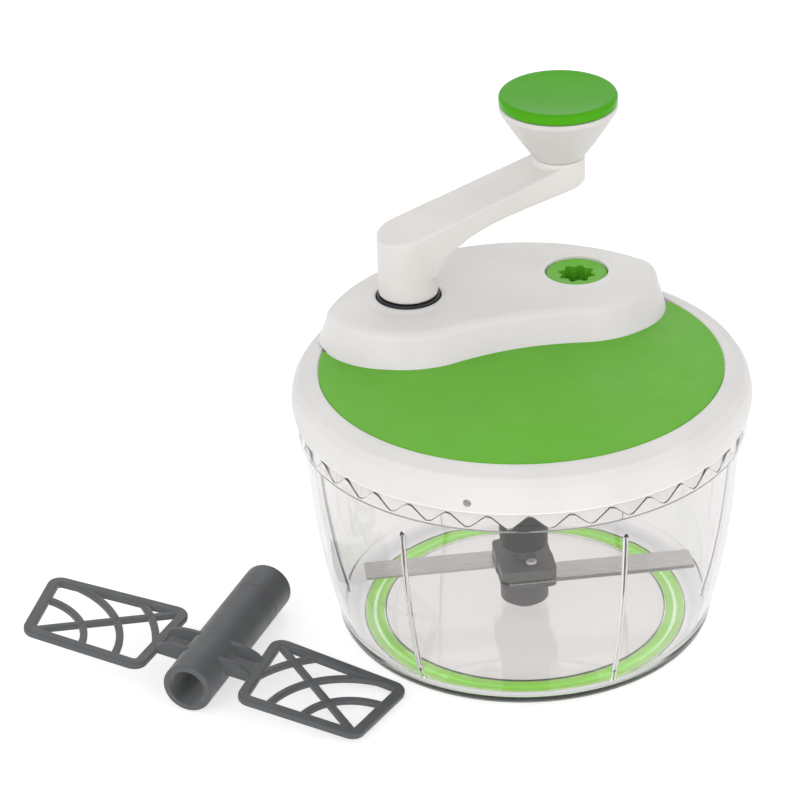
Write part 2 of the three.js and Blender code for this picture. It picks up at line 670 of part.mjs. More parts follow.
function bowl() {
  const ribs = Array.from({ length: 2 * RIB_PAIRS }, (_, i) => {
    const pairTurn = (FULL_TURN * Math.floor(i / 2)) / RIB_PAIRS;
    const side = (i % 2) - HALF;
    const azimuth = RIB_PAIR_AZIMUTH - HALF_TURN / 2 + pairTurn + side * RIB_PAIR_ANGLE;
    return rib().rotate([0, 0, (azimuth - lockTurn) / DEGREE]);
  });
  const body = join(revolve(bowlProfile(), BIG_SIDES), ...ribs);
  return cut(body, cylinder(SPINDLE_RADIUS + SEAT, SPINDLE_FLOOR, HUB_BOTTOM, SMALL_SIDES));
}

// Round pieces that carry or meet the lock start their first step on one of its crests
const lockTurn = LOCK_PHASE;
const onLock = (solid) => solid.rotate([0, 0, lockTurn / DEGREE]);

const footRing = (outer) => onLock(washer(outer - FOOT_BAND, outer, 0, FOOT_THICKNESS, LOCK_TEETH));

const spindle = () => cylinder(SPINDLE_RADIUS, SPINDLE_FLOOR + SEAT, SPINDLE_TOP);

// Cutter

const lobe = (bottom, top) => prism([
  [-LOBE_SHORT, 0],
  [-LOBE_SHORT, -LOBE_REACH],
  [LOBE_LONG, -LOBE_REACH],
  [LOBE_LONG, 0],
], bottom, top);

const bothWays = (solid) => join(solid, solid.rotate([0, 0, 180]));

const bladeTop = BLADE_SEAT + SEAT + BLADE_THICKNESS;
const bladeScrewPlace = [BLADE_SCREW_ALONG, -BLADE_OFFSET];

const bladeScrewHole = (bottom, top) => bothWays(cylinder(
  BLADE_SCREW_SHANK_RADIUS + SEAT,
  bottom,
  top,
  PIN_SIDES,
  bladeScrewPlace,
));

function bladeHub() {
  const body = join(
    cylinder(HUB_RADIUS, HUB_BOTTOM, BLADE_SEAT, ROUND_SIDES),
    bothWays(lobe(BLADE_SEAT - LOBE_PLATE, BLADE_SEAT)),
    cylinder(POST_RADIUS, BLADE_SEAT - WELD, POST_TOP),
  );
  const bore = cylinder(SPINDLE_RADIUS + SEAT, HUB_BOTTOM - OVERRUN, SPINDLE_TOP + SEAT);
  const screwFloor = CLAMP_TOP - BLADE_SCREW_LENGTH - OVERRUN;
  return cut(body, bore, bladeScrewHole(screwFloor, BLADE_SEAT + OVERRUN));
}

function bladeClamp() {
  const post = cylinder(POST_RADIUS + SEAT, CLAMP_BOTTOM - OVERRUN, CLAMP_TOP + OVERRUN);
  const hole = bladeScrewHole(CLAMP_BOTTOM - OVERRUN, CLAMP_TOP + OVERRUN);
  return cut(bothWays(lobe(CLAMP_BOTTOM, CLAMP_TOP)), post, hole);
}

// A steel strip with its cutting edge ground on the side that leads
function blade(tip) {
  const inner = -BLADE_OFFSET + BLADE_WIDTH / 2;
  const outer = -BLADE_OFFSET - BLADE_WIDTH / 2;
  const bottom = BLADE_SEAT + SEAT;
  const section = [
    [inner, bottom],
    [outer, bottom],
    [outer, bottom + BLADE_THICKNESS * BLADE_EDGE_SHARE],
    [outer + BLADE_EDGE_BEVEL, bladeTop],
    [inner, bladeTop],
  ];
  const strip = prism(section, BLADE_ROOT, tip).rotate([90, 0, 90]);
  const post = cylinder(POST_RADIUS + SEAT, bottom - OVERRUN, bladeTop + OVERRUN);
  return cut(strip, post, bladeScrewHole(bottom - OVERRUN, bladeTop + OVERRUN));
}

function bladeScrew() {
  const seat = CLAMP_TOP + SEAT;
  const head = revolve([
    [0, seat],
    [BLADE_SCREW_HEAD_RADIUS, seat],
    [BLADE_SCREW_HEAD_RADIUS, seat + BLADE_SCREW_HEAD / 2],
    [BLADE_SCREW_HEAD_RADIUS / 2, seat + BLADE_SCREW_HEAD],
    [0, seat + BLADE_SCREW_HEAD],
  ], PIN_SIDES, bladeScrewPlace);
  const shank = cylinder(
    BLADE_SCREW_SHANK_RADIUS,
    CLAMP_TOP - BLADE_SCREW_LENGTH,
    seat + WELD,
    PIN_SIDES,
    bladeScrewPlace,
  );
  return join(head, shank);
}

const hexagon = (radius) => circle(radius, HEX_SIDES);

function bladeTube() {
  const socketFloor = TUBE_TOP - DRIVE_SOCKET_DEPTH;
  return cut(
    cylinder(TUBE_RADIUS, TUBE_BOTTOM, TUBE_TOP, ROUND_SIDES),
    cylinder(POST_RADIUS + SEAT, TUBE_BOTTOM - OVERRUN, POST_TOP + SEAT),
    prism(hexagon(OUTPUT_HEX_RADIUS + RUN), socketFloor, TUBE_TOP + OVERRUN),
  );
}

// Lid

const spigotOuter = neckInner - PLATE_GAP;
const spigotInner = spigotOuter - SPIGOT_WALL;
const skirtInner = NECK_RADIUS + SEAT;
const skirtOuter = collarInner - RUN;
const plateTop = PLATE_BOTTOM + PLATE_THICKNESS;

function lidProfile() {
  return [
    [0, DECK_BOTTOM],
    [spigotInner, DECK_BOTTOM],
    [spigotInner, PLATE_BOTTOM],
    [spigotOuter, PLATE_BOTTOM],
    [spigotOuter, NECK_TOP + SEAT],
    [skirtInner, NECK_TOP + SEAT],
    [skirtInner, LOCK_CREST + RUN, LOCK_TROUGH + RUN],
    [skirtOuter, LOCK_CREST + RUN, LOCK_TROUGH + RUN],
    [skirtOuter, LID_BOTTOM],
    [LID_RADIUS - LID_LOW_INSET, LID_BOTTOM],
    [LID_RADIUS, LID_BELLY_LOW],
    [LID_RADIUS, LID_BELLY_HIGH],
    [LID_RADIUS - LID_SHOULDER_INSET, LID_SHOULDER_HEIGHT],
    [LID_RADIUS - LID_BROW_INSET, LID_BROW_HEIGHT],
    [LID_RADIUS - LID_CREST_INSET, LID_CREST_HEIGHT],
    [INSERT_RADIUS + SEAT, INSERT_EDGE_TOP],
    [INSERT_RADIUS + SEAT, DECK_TOP],
    [0, DECK_TOP],
  ];
}

const plateScrewPlaces = PLATE_SCREW_AZIMUTHS.map((azimuth) =>
  polar(spigotInner - PLATE_SCREW_INSET, azimuth));

function lidShell() {
  const ring = onLock(revolve(lidProfile(), BIG_SIDES));
  const stubBoss = cylinder(STUB_BOSS_RADIUS, DECK_BOTTOM - STUB_BOSS_DROP, DECK_BOTTOM + WELD);
  const screwBosses = plateScrewPlaces.map((place) =>
    cylinder(PLATE_SCREW_BOSS, plateTop + SEAT, DECK_BOTTOM + WELD, SMALL_SIDES, place));
  const screwHoles = plateScrewPlaces.map((place) => cylinder(
    PLATE_SCREW_SHANK_RADIUS + SEAT,
    plateTop - OVERRUN,
    plateTop + PLATE_SCREW_LENGTH,
    PIN_SIDES,
    place,
  ));
  const housingScrewHoles = HOUSING_SCREW_PLACES.map((place) => cylinder(
    PLATE_SCREW_SHANK_RADIUS + SEAT,
    DECK_BOTTOM - OVERRUN,
    DECK_TOP + OVERRUN,
    PIN_SIDES,
    place,
  ));
  const opening = (radius, place) =>
    cylinder(radius, DECK_BOTTOM - OVERRUN, DECK_TOP + OVERRUN, ROUND_SIDES, place);
  return cut(
    join(ring, stubBoss, ...screwBosses),
    cylinder(OUTPUT_STUB_RADIUS + SEAT, DECK_BOTTOM - STUB_BOSS_DROP - OVERRUN, OUTPUT_STUB_TOP + SEAT),
    opening(pitchRadius(FAST_TEETH) + ADDENDUM + GEAR_ROOM, FAST_PLACE),
    opening(pitchRadius(PINION_TEETH) + ADDENDUM + GEAR_ROOM, COMPOUND_PLACE),
    opening(SOCKET_TUBE_RADIUS + GEAR_ROOM, SLOW_PLACE),
    ...screwHoles,
    ...housingScrewHoles,
    vent(),
  );
}

// The small vent hole low on the front of the ring
function vent() {
  const start = LID_RADIUS - VENT_DEPTH;
  return cylinder(VENT_RADIUS, start, LID_RADIUS + OVERRUN, PIN_SIDES)
    .rotate([0, 90, 0])
    .translate([0, 0, LID_BOTTOM + VENT_RISE])
    .rotate([0, 0, VENT_AZIMUTH / DEGREE - 90]);
}

function lidInsert() {
  const bottom = DECK_TOP + SEAT;
  const disc = onLock(revolve([
    [0, bottom],
    [INSERT_RADIUS, bottom],
    [INSERT_RADIUS, INSERT_EDGE_TOP],
    [INSERT_CREASE_RADIUS, INSERT_CREASE_TOP],
    [0, INSERT_CROWN],
  ], BIG_SIDES));
  return largest(cut(disc, prism(housingOutline(-SEAT), bottom - OVERRUN, INSERT_CROWN + OVERRUN)));
}

// The largest of the separate bodies that a cut leaves
const largest = (solid) => solid.decompose().sort((a, b) => b.volume() - a.volume())[0];

// The housing's outline: two lobes round the sockets, a waist between them at the front, the lid's
// edge at the back and rounded corners. The back edge has an inset of its own
function housingOutline(inset, backInset = inset) {
  const lidCentre = [0, 0];
  const cornerRadius = HOUSING_CORNER_RADIUS - inset;
  const backRadius = HOUSING_BACK_RADIUS - backInset;
  const waist = circlesMeet(
    FAST_PLACE,
    HOUSING_FAST_RADIUS + HOUSING_WAIST_RADIUS,
    SLOW_PLACE,
    HOUSING_SLOW_RADIUS + HOUSING_WAIST_RADIUS,
    -1,
  );
  const cornerCentre = (place, radius, side) => circlesMeet(
    place,
    radius - inset - cornerRadius,
    lidCentre,
    backRadius - cornerRadius,
    side,
  );
  const slowCorner = cornerCentre(SLOW_PLACE, HOUSING_SLOW_RADIUS, 1);
  const fastCorner = cornerCentre(FAST_PLACE, HOUSING_FAST_RADIUS, -1);
  const piece = (centre, radius, from, to, steps) => arc(centre, radius, from, to, steps).slice(1);
  const up = (angle, floor) => (angle < floor ? angle + FULL_TURN : angle);
  const fastStart = up(angleTo(FAST_PLACE, fastCorner), 0);
  const fastEnd = up(angleTo(FAST_PLACE, waist), fastStart);
  const waistStart = angleTo(waist, FAST_PLACE);
  const waistEnd = angleTo(waist, SLOW_PLACE);
  const slowStart = angleTo(SLOW_PLACE, waist);
  const slowEnd = angleTo(SLOW_PLACE, slowCorner);
  const backStart = angleTo(lidCentre, slowCorner);
  const backEnd = up(angleTo(lidCentre, fastCorner), backStart);
  return [
    ...piece(FAST_PLACE, HOUSING_FAST_RADIUS - inset, fastStart, fastEnd, HOUSING_LOBE_STEPS),
    ...piece(waist, HOUSING_WAIST_RADIUS + inset, waistStart, waistEnd, HOUSING_WAIST_STEPS),
    ...piece(SLOW_PLACE, HOUSING_SLOW_RADIUS - inset, slowStart, slowEnd, HOUSING_LOBE_STEPS),
    ...piece(slowCorner, cornerRadius, slowEnd, backStart, HOUSING_CORNER_STEPS),
    ...piece(lidCentre, backRadius, backStart, backEnd, HOUSING_BACK_STEPS),
    ...piece(fastCorner, cornerRadius, backEnd, fastStart, HOUSING_CORNER_STEPS),
  ];
}

// The housing's levels: a leaning wall, a fillet and the flat top that starts inside it
const housingLevels = (inset, bottom, top) => [
  { outline: housingOutline(inset), height: bottom },
  ...FILLET_STEP_SHARES.map((share) => {
    const turn = (share * HALF_TURN) / 2;
    const drawn = inset + HOUSING_FILLET * (1 - Math.cos(turn));
    return {
      outline: housingOutline(drawn + HOUSING_EDGE_INSET, drawn + HOUSING_BACK_EDGE_INSET),
      height: top - HOUSING_FILLET + HOUSING_FILLET * Math.sin(turn),
    };
  }),
  {
    outline: housingOutline(
      inset + HOUSING_EDGE_INSET + HOUSING_FILLET + LIP_WIDTH,
      inset + HOUSING_BACK_EDGE_INSET + HOUSING_FILLET + LIP_WIDTH,
    ),
    height: top,
  },
];

// The cover stands in the deck's pocket and its back reaches over the lid ring's crest
function gearHousing() {
  const bottom = DECK_TOP + SEAT;
  const ceiling = HOUSING_TOP - HOUSING_WALL;
  const overRing = LID_CREST_HEIGHT + SEAT;
  const ledge = overRing + HOUSING_WALL;
  const pocketInset = HOUSING_BACK_RADIUS - (INSERT_RADIUS - SEAT);
  const pocket = (inset, low, high) =>
    prism(housingOutline(inset + WELD, pocketInset + inset + WELD), low, high + WELD);
  const shell = cut(
    join(pocket(0, bottom, overRing), loft(housingLevels(0, overRing, HOUSING_TOP))),
    pocket(HOUSING_WALL, bottom - OVERRUN, ledge),
    loft(housingLevels(HOUSING_WALL, ledge, ceiling)),
  );
  const lip = (radius, place) => washer(
    radius + RUN,
    radius + RUN + LIP_WIDTH,
    ceiling,
    HOUSING_TOP + LIP_HEIGHT,
    ROUND_SIDES,
    place,
  );
  const hole = (radius, place) =>
    cylinder(radius + RUN, ceiling - OVERRUN, HOUSING_TOP + OVERRUN, ROUND_SIDES, place);
  const bosses = HOUSING_SCREW_PLACES.map((place) =>
    cylinder(HOUSING_SCREW_BOSS, bottom, ceiling + WELD, SMALL_SIDES, place));
  const pilots = HOUSING_SCREW_PLACES.map((place) => cylinder(
    PLATE_SCREW_SHANK_RADIUS + SEAT,
    bottom - OVERRUN,
    DECK_BOTTOM + HOUSING_SCREW_LENGTH,
    PIN_SIDES,
    place,
  ));
  return cut(
    join(shell, ...bosses, lip(SLOW_SOCKET_RADIUS, SLOW_PLACE), lip(FAST_SOCKET_RADIUS, FAST_PLACE)),
    hole(SLOW_SOCKET_RADIUS, SLOW_PLACE),
    hole(FAST_SOCKET_RADIUS, FAST_PLACE),
    ...pilots,
  );
}

function lidBasePlate() {
  const bossTop = LOW_LEVEL - SEAT;
  const axlePlaces = [FAST_PLACE, SLOW_PLACE, COMPOUND_PLACE];
  const bosses = axlePlaces.map((place) =>
    cylinder(PLATE_BOSS_RADIUS, plateTop - WELD, bossTop, SMALL_SIDES, place));
  const axleHoles = axlePlaces.map((place) => cylinder(
    FAST_AXLE_SHOULDER_RADIUS + SEAT,
    PLATE_BOTTOM + AXLE_FLOOR,
    bossTop + OVERRUN,
    SMALL_SIDES,
    place,
  ));
  const screwHoles = plateScrewPlaces.map((place) => cylinder(
    PLATE_SCREW_SHANK_RADIUS + SEAT,
    PLATE_BOTTOM - OVERRUN,
    plateTop + OVERRUN,
    PIN_SIDES,
    place,
  ));
  const disc = onLock(cylinder(spigotInner - PLATE_GAP, PLATE_BOTTOM, plateTop, LOCK_TEETH));
  return cut(
    join(disc, ...bosses),
    cylinder(BUSH_RADIUS + SEAT, PLATE_BOTTOM - OVERRUN, plateTop + OVERRUN, ROUND_SIDES),
    ...axleHoles,
    ...screwHoles,
  );
}

// A pan head screw whose head lies under the part it holds
function upwardScrew(place, seat, length) {
  const head = cylinder(PLATE_SCREW_HEAD_RADIUS, seat - PLATE_SCREW_HEAD, seat, PIN_SIDES, place);
  const shank = cylinder(PLATE_SCREW_SHANK_RADIUS, seat - WELD, seat + length, PIN_SIDES, place);
  return join(head, shank);
}

const plateScrews = () => plateScrewPlaces.map((place, i) => piece(
  `base_plate_screw_${i + 1}`,
  upwardScrew(place, PLATE_BOTTOM - SEAT, PLATE_SCREW_LENGTH),
  STEEL,
));

const housingScrews = () => HOUSING_SCREW_PLACES.map((place, i) => piece(
  `housing_screw_${i + 1}`,
  upwardScrew(place, DECK_BOTTOM - SEAT, HOUSING_SCREW_LENGTH - SEAT),
  STEEL,
));

// Gear train

const fastPhase = 0;
const pinionPhase = meshPhase(COMPOUND_PLACE, PINION_TEETH, FAST_PLACE, FAST_TEETH, fastPhase);
const wheelPhase = 0;
const slowPhase = meshPhase(SLOW_PLACE, SLOW_TEETH, COMPOUND_PLACE, WHEEL_TEETH, wheelPhase);
const outputPhase = meshPhase([0, 0], OUTPUT_TEETH, COMPOUND_PLACE, WHEEL_TEETH, wheelPhase);

const axleBore = (place, radius = AXLE_RADIUS) =>
  cylinder(radius + SEAT, LOW_LEVEL - OVERRUN, AXLE_TOP + OVERRUN, SMALL_SIDES, place);

const axleBottom = PLATE_BOTTOM + AXLE_FLOOR + SEAT;
const axle = (place) => cylinder(AXLE_RADIUS, axleBottom, AXLE_TOP, SMALL_SIDES, place);

// The fast gear turns above the big wheel, so its axle carries it on a slim shoulder beside the wheel
const fastAxle = () => join(
  cylinder(FAST_AXLE_SHOULDER_RADIUS, axleBottom, HIGH_LEVEL - SEAT, SMALL_SIDES, FAST_PLACE),
  cylinder(FAST_AXLE_RADIUS, axleBottom, AXLE_TOP, SMALL_SIDES, FAST_PLACE),
);

const gearTop = (level) => level + GEAR_FACE;

function fastGear() {
  const wheel = prism(gearOutline(FAST_TEETH, fastPhase, FAST_PLACE), HIGH_LEVEL, gearTop(HIGH_LEVEL));
  return cut(wheel, axleBore(FAST_PLACE, FAST_AXLE_RADIUS));
}

function slowGear() {
  const wheel = prism(gearOutline(SLOW_TEETH, slowPhase, SLOW_PLACE), LOW_LEVEL, gearTop(LOW_LEVEL));
  return cut(wheel, axleBore(SLOW_PLACE));
}

function compoundGear() {
  const wheel = prism(gearOutline(WHEEL_TEETH, wheelPhase, COMPOUND_PLACE), LOW_LEVEL, gearTop(LOW_LEVEL));
  const pinion = prism(
    gearOutline(PINION_TEETH, pinionPhase, COMPOUND_PLACE),
    gearTop(LOW_LEVEL) - WELD,
    gearTop(HIGH_LEVEL),
  );
  return cut(join(wheel, pinion), axleBore(COMPOUND_PLACE));
}

function outputPinion() {
  return join(
    prism(gearOutline(OUTPUT_TEETH, outputPhase, [0, 0]), LOW_LEVEL, gearTop(LOW_LEVEL)),
    cylinder(OUTPUT_SHAFT_RADIUS, TUBE_TOP, LOW_LEVEL + WELD),
    prism(hexagon(OUTPUT_HEX_RADIUS), OUTPUT_HEX_BOTTOM, TUBE_TOP + WELD)
      .rotate([0, 0, BLADE_AZIMUTH / DEGREE]),
    cylinder(OUTPUT_STUB_RADIUS, gearTop(LOW_LEVEL) - WELD, OUTPUT_STUB_TOP),
  );
}

function outputBush() {
  const flangeBottom = plateTop + SEAT;
  return revolve(closeProfile([
    [OUTPUT_SHAFT_RADIUS + SEAT, PLATE_BOTTOM],
    [BUSH_RADIUS, PLATE_BOTTOM],
    [BUSH_RADIUS, flangeBottom],
    [BUSH_FLANGE_RADIUS, flangeBottom],
    [BUSH_FLANGE_RADIUS, flangeBottom + BUSH_FLANGE],
    [OUTPUT_SHAFT_RADIUS + SEAT, flangeBottom + BUSH_FLANGE],
  ]), SMALL_SIDES);
}

// A drive socket: disc in the housing's hole, tube down to its gear, star hole for the crank
function socket(place, discRadius, gearHeight) {
  const bottom = gearHeight + SEAT;
  const discBottom = HOUSING_TOP - SOCKET_DISC;
  const body = revolve([
    [0, AXLE_TOP + SEAT],
    [AXLE_RADIUS + SEAT, AXLE_TOP + SEAT],
    [AXLE_RADIUS + SEAT, bottom],
    [SOCKET_TUBE_RADIUS, bottom],
    [SOCKET_TUBE_RADIUS, discBottom],
    [discRadius, discBottom],
    [discRadius, HOUSING_TOP],
    [0, HOUSING_TOP],
  ], ROUND_SIDES, place);
  return cut(body, prism(starOutline(0, place, ARM_AZIMUTH), SOCKET_FLOOR, HOUSING_TOP + OVERRUN));
}

// Crank, built along X about its own axis and turned to the arm's azimuth by its group

function armPlan() {
  const lean = Math.asin((COLUMN_RADIUS - ARM_END_RADIUS) / ARM_LENGTH);
  const side = HALF_TURN / 2 - lean;
  return [
    ...arc([0, 0], COLUMN_RADIUS, side, FULL_TURN - side, ROUND_SIDES / 2),
    ...arc([ARM_LENGTH, 0], ARM_END_RADIUS, -side, side, ROUND_SIDES / 2),
  ];
}

const alongArm = (atColumn, atKnob, along) => atColumn + ((atKnob - atColumn) * along) / ARM_LENGTH;
const armTop = (along) => alongArm(ARM_TOP_AT_COLUMN, ARM_TOP_AT_KNOB, along);
const armUnder = (along) =>
  armTop(along) - alongArm(ARM_THICKNESS_AT_COLUMN, ARM_THICKNESS_AT_KNOB, along);

function armSide() {
  const start = -COLUMN_RADIUS - OVERRUN;
  const end = ARM_LENGTH + ARM_END_RADIUS + OVERRUN;
  const haunchEnd = COLUMN_RADIUS + HAUNCH_REACH;
  return [
    [start, armTop(start)],
    [start, HAUNCH_FOOT],
    ...bend(
      [COLUMN_RADIUS * HAUNCH_START_SHARE, HAUNCH_FOOT],
      [COLUMN_RADIUS, armUnder(COLUMN_RADIUS)],
      [haunchEnd, armUnder(haunchEnd)],
      CURVE_STEPS,
    ),
    [end - ARM_END_BLEND, armUnder(end - ARM_END_BLEND)],
    [end, armUnder(end - ARM_END_BLEND) + OVERRUN],
    [end, KNOB_PAD_TOP - SEAT],
    [ARM_LENGTH, KNOB_PAD_TOP - SEAT],
    [ARM_LENGTH - SEAT, armTop(ARM_LENGTH)],
  ];
}

function crankArm() {
  const width = 2 * COLUMN_RADIUS + 2 * OVERRUN;
  const side = prism(armSide(), -width / 2, width / 2).rotate([90, 0, 0]);
  const plan = prism(armPlan(), COLUMN_BOTTOM, KNOB_PAD_TOP + OVERRUN);
  const column = cylinder(COLUMN_RADIUS, COLUMN_BOTTOM, armUnder(0), ROUND_SIDES);
  const pad = cylinder(
    ARM_END_RADIUS - SEAT,
    armTop(ARM_LENGTH) - ARM_THICKNESS_AT_KNOB / 2,
    KNOB_PAD_TOP,
    ROUND_SIDES,
    [ARM_LENGTH, 0],
  );
  const pinHole = cylinder(
    KNOB_PIN_RADIUS + SEAT,
    KNOB_PIN_BOTTOM - SEAT,
    KNOB_PAD_TOP + OVERRUN,
    SMALL_SIDES,
    [ARM_LENGTH, 0],
  );
  const plugSeat = cylinder(
    PLUG_DISC_RADIUS + SEAT,
    COLUMN_BOTTOM - OVERRUN,
    COLUMN_BOTTOM + PLUG_DISC + SEAT,
  );
  const screwHole = cylinder(
    SPLINE_SCREW_RADIUS + SEAT,
    COLUMN_BOTTOM,
    SOCKET_FLOOR + SPLINE_SCREW_LENGTH + OVERRUN,
    PIN_SIDES,
  );
  return cut(join(side.intersect(plan), column, pad), pinHole, plugSeat, screwHole);
}

function crankSpline() {
  const body = join(
    prism(starOutline(STAR_CLEARANCE), PLUG_BOTTOM, COLUMN_BOTTOM + WELD),
    cylinder(PLUG_DISC_RADIUS, COLUMN_BOTTOM + SEAT, COLUMN_BOTTOM + PLUG_DISC),
    cylinder(STAR_RADIUS - STAR_LOBE_HEIGHT - STAR_CLEARANCE, PLUG_BOTTOM, COLUMN_BOTTOM + PLUG_DISC),
  );
  return cut(
    body,
    cylinder(SPLINE_SCREW_RADIUS + SEAT, PLUG_BOTTOM - OVERRUN, COLUMN_BOTTOM + PLUG_DISC + OVERRUN),
    cylinder(SPLINE_SCREW_HEAD_RADIUS + SEAT, PLUG_BOTTOM - OVERRUN, PLUG_BOTTOM + SPLINE_SCREW_HEAD + SEAT),
  );
}

const splineScrew = () => join(
  cylinder(SPLINE_SCREW_HEAD_RADIUS, PLUG_BOTTOM, PLUG_BOTTOM + SPLINE_SCREW_HEAD, PIN_SIDES),
  cylinder(SPLINE_SCREW_RADIUS, PLUG_BOTTOM, PLUG_BOTTOM + SPLINE_SCREW_LENGTH, PIN_SIDES),
);

// Knob, built about its own axis

const knobBottom = KNOB_PAD_TOP + SEAT;

function knobBody() {
  const flareControl = (inset) => [
    KNOB_NECK_RADIUS + (KNOB_RIM_RADIUS - KNOB_NECK_RADIUS) * KNOB_FLARE_SHARE - inset,
    knobBottom + (KNOB_RIM_BOTTOM - knobBottom) * HALF,
  ];
  const outside = bend(
    [KNOB_NECK_RADIUS, knobBottom],
    flareControl(0),
    [KNOB_RIM_RADIUS, KNOB_RIM_BOTTOM],
    CURVE_STEPS,
  );
  const hollowFloor = knobBottom + 2 * KNOB_WALL;
  return revolve(closeProfile([
    [KNOB_PIN_RADIUS + SEAT, knobBottom],
    ...outside,
    [KNOB_RIM_RADIUS, KNOB_RIM_TOP],
    [KNOB_RIM_RADIUS - KNOB_WALL, KNOB_RIM_TOP],
    [KNOB_RIM_RADIUS - KNOB_WALL, KNOB_RIM_BOTTOM],
    [flareControl(KNOB_WALL)[0] + KNOB_WALL, flareControl(0)[1] + 2 * KNOB_WALL],
    [KNOB_HUB_RADIUS + KNOB_WALL, hollowFloor],
    [KNOB_HUB_RADIUS, hollowFloor],
    [KNOB_HUB_RADIUS, KNOB_HUB_TOP],
    [KNOB_PIN_RADIUS + SEAT, KNOB_HUB_TOP],
  ]), ROUND_SIDES);
}

function knobCap() {
  const bottom = KNOB_RIM_TOP + SEAT;
  const top = bottom + CAP_THICKNESS;
  const plugRadius = KNOB_RIM_RADIUS - KNOB_WALL - SEAT;
  return revolve([
    [0, bottom - CAP_PLUG_DROP],
    [plugRadius, bottom - CAP_PLUG_DROP],
    [plugRadius, bottom],
    [CAP_RADIUS * CAP_EDGE_RADIUS_SHARE, bottom],
    [CAP_RADIUS, bottom + CAP_THICKNESS * HALF],
    [CAP_RADIUS * CAP_EDGE_RADIUS_SHARE, bottom + CAP_THICKNESS * CAP_SHOULDER_SHARE],
    [CAP_RADIUS * CAP_RIDGE_SHARE, top],
    [0, top - CAP_DISH],
  ], ROUND_SIDES);
}

const knobPin = () => join(
  cylinder(KNOB_PIN_RADIUS, KNOB_PIN_BOTTOM, KNOB_HUB_TOP + SEAT + WELD, SMALL_SIDES),
  cylinder(KNOB_PIN_HEAD_RADIUS, KNOB_HUB_TOP + SEAT, KNOB_HUB_TOP + SEAT + KNOB_PIN_HEAD, SMALL_SIDES),
);

// Paddle, built with its tube along Y and its frames in the XY plane

// The outline of a frame, moved inward by an inset, with rounded corners
function frameOutline(inset) {
  const corners = [FRAME_INNER_BOTTOM, FRAME_OUTER_BOTTOM, FRAME_OUTER_TOP, FRAME_INNER_TOP]
    .map(([x, y]) => new THREE.Vector2(x, y));
  const radius = FRAME_CORNER_RADIUS - inset;
  const points = [];
  corners.forEach((corner, i) => {
    const before = corners[(i + corners.length - 1) % corners.length];
    const after = corners[(i + 1) % corners.length];
    const back = before.clone().sub(corner).normalize();
    const ahead = after.clone().sub(corner).normalize();
    const halfAngle = Math.acos(back.dot(ahead)) / 2;
    const inward = back.clone().add(ahead).normalize();
    const centre = corner.clone().addScaledVector(inward, FRAME_CORNER_RADIUS / Math.sin(halfAngle));
    const sweep = HALF_TURN - 2 * halfAngle;
    const middle = Math.atan2(-inward.y, -inward.x);
    points.push(...arc([centre.x, centre.y], radius, middle - sweep / 2, middle + sweep / 2, CURVE_STEPS));
  });
  return points;
}

function bar(start, end, width, bottom, top) {
  const along = new THREE.Vector2(end[0] - start[0], end[1] - start[1]).normalize();
  const across = [-along.y * (width / 2), along.x * (width / 2)];
  return prism([
    [start[0] - across[0], start[1] - across[1]],
    [end[0] - across[0], end[1] - across[1]],
    [end[0] + across[0], end[1] + across[1]],
    [start[0] + across[0], start[1] + across[1]],
  ], bottom, top);
}

// One open frame with a diagonal and three arcs about its outer lower corner
function paddleFrame() {
  const bottom = FRAME_RISE - FRAME_THICKNESS / 2;
  const top = FRAME_RISE + FRAME_THICKNESS / 2;
  const whole = prism(frameOutline(0), bottom, top);
  const opening = prism(frameOutline(FRAME_BAR), bottom - OVERRUN, top + OVERRUN);
  const diagonal = bar(FRAME_OUTER_BOTTOM, FRAME_INNER_TOP, LATTICE_BAR, bottom, top);
  const length = Math.hypot(
    FRAME_INNER_TOP[0] - FRAME_OUTER_BOTTOM[0],
    FRAME_INNER_TOP[1] - FRAME_OUTER_BOTTOM[1],
  );
  const arcs = LATTICE_RADIUS_SHARES.map((share) => washer(
    length * share - LATTICE_BAR / 2,
    length * share + LATTICE_BAR / 2,
    bottom,
    top,
    LATTICE_SIDES,
    FRAME_OUTER_BOTTOM,
  ));
  const lattice = join(diagonal, ...arcs).intersect(whole);
  return join(cut(whole, opening), lattice);
}

// The web and its two curved fins between the tube and one frame
function gusset() {
  const web = prism([
    [PADDLE_BORE_RADIUS + WELD, WEB_LOW],
    [WEB_REACH, WEB_LOW],
    [WEB_REACH, WEB_HIGH],
    [PADDLE_BORE_RADIUS + WELD, WEB_HIGH],
  ], FRAME_RISE - WEB_THICKNESS / 2, FRAME_RISE + WEB_THICKNESS / 2);
  const finOutline = [
    [PADDLE_BORE_RADIUS + WELD, FRAME_RISE],
    [WEB_REACH - FIN_THICKNESS / 2, FRAME_RISE],
    ...bend(
      [WEB_REACH - FIN_THICKNESS / 2, FRAME_RISE + FRAME_THICKNESS / 2],
      [WEB_REACH - FIN_THICKNESS, FRAME_RISE + FIN_RISE],
      [PADDLE_TUBE_RADIUS - FIN_THICKNESS, FRAME_RISE + FIN_RISE],
      CURVE_STEPS,
    ),
  ];
  const fin = (place) => prism(finOutline, -FIN_THICKNESS / 2, FIN_THICKNESS / 2)
    .rotate([90, 0, 0])
    .translate([0, place, 0]);
  return join(web, fin(WEB_LOW + FIN_THICKNESS / 2), fin(WEB_HIGH - FIN_THICKNESS / 2));
}

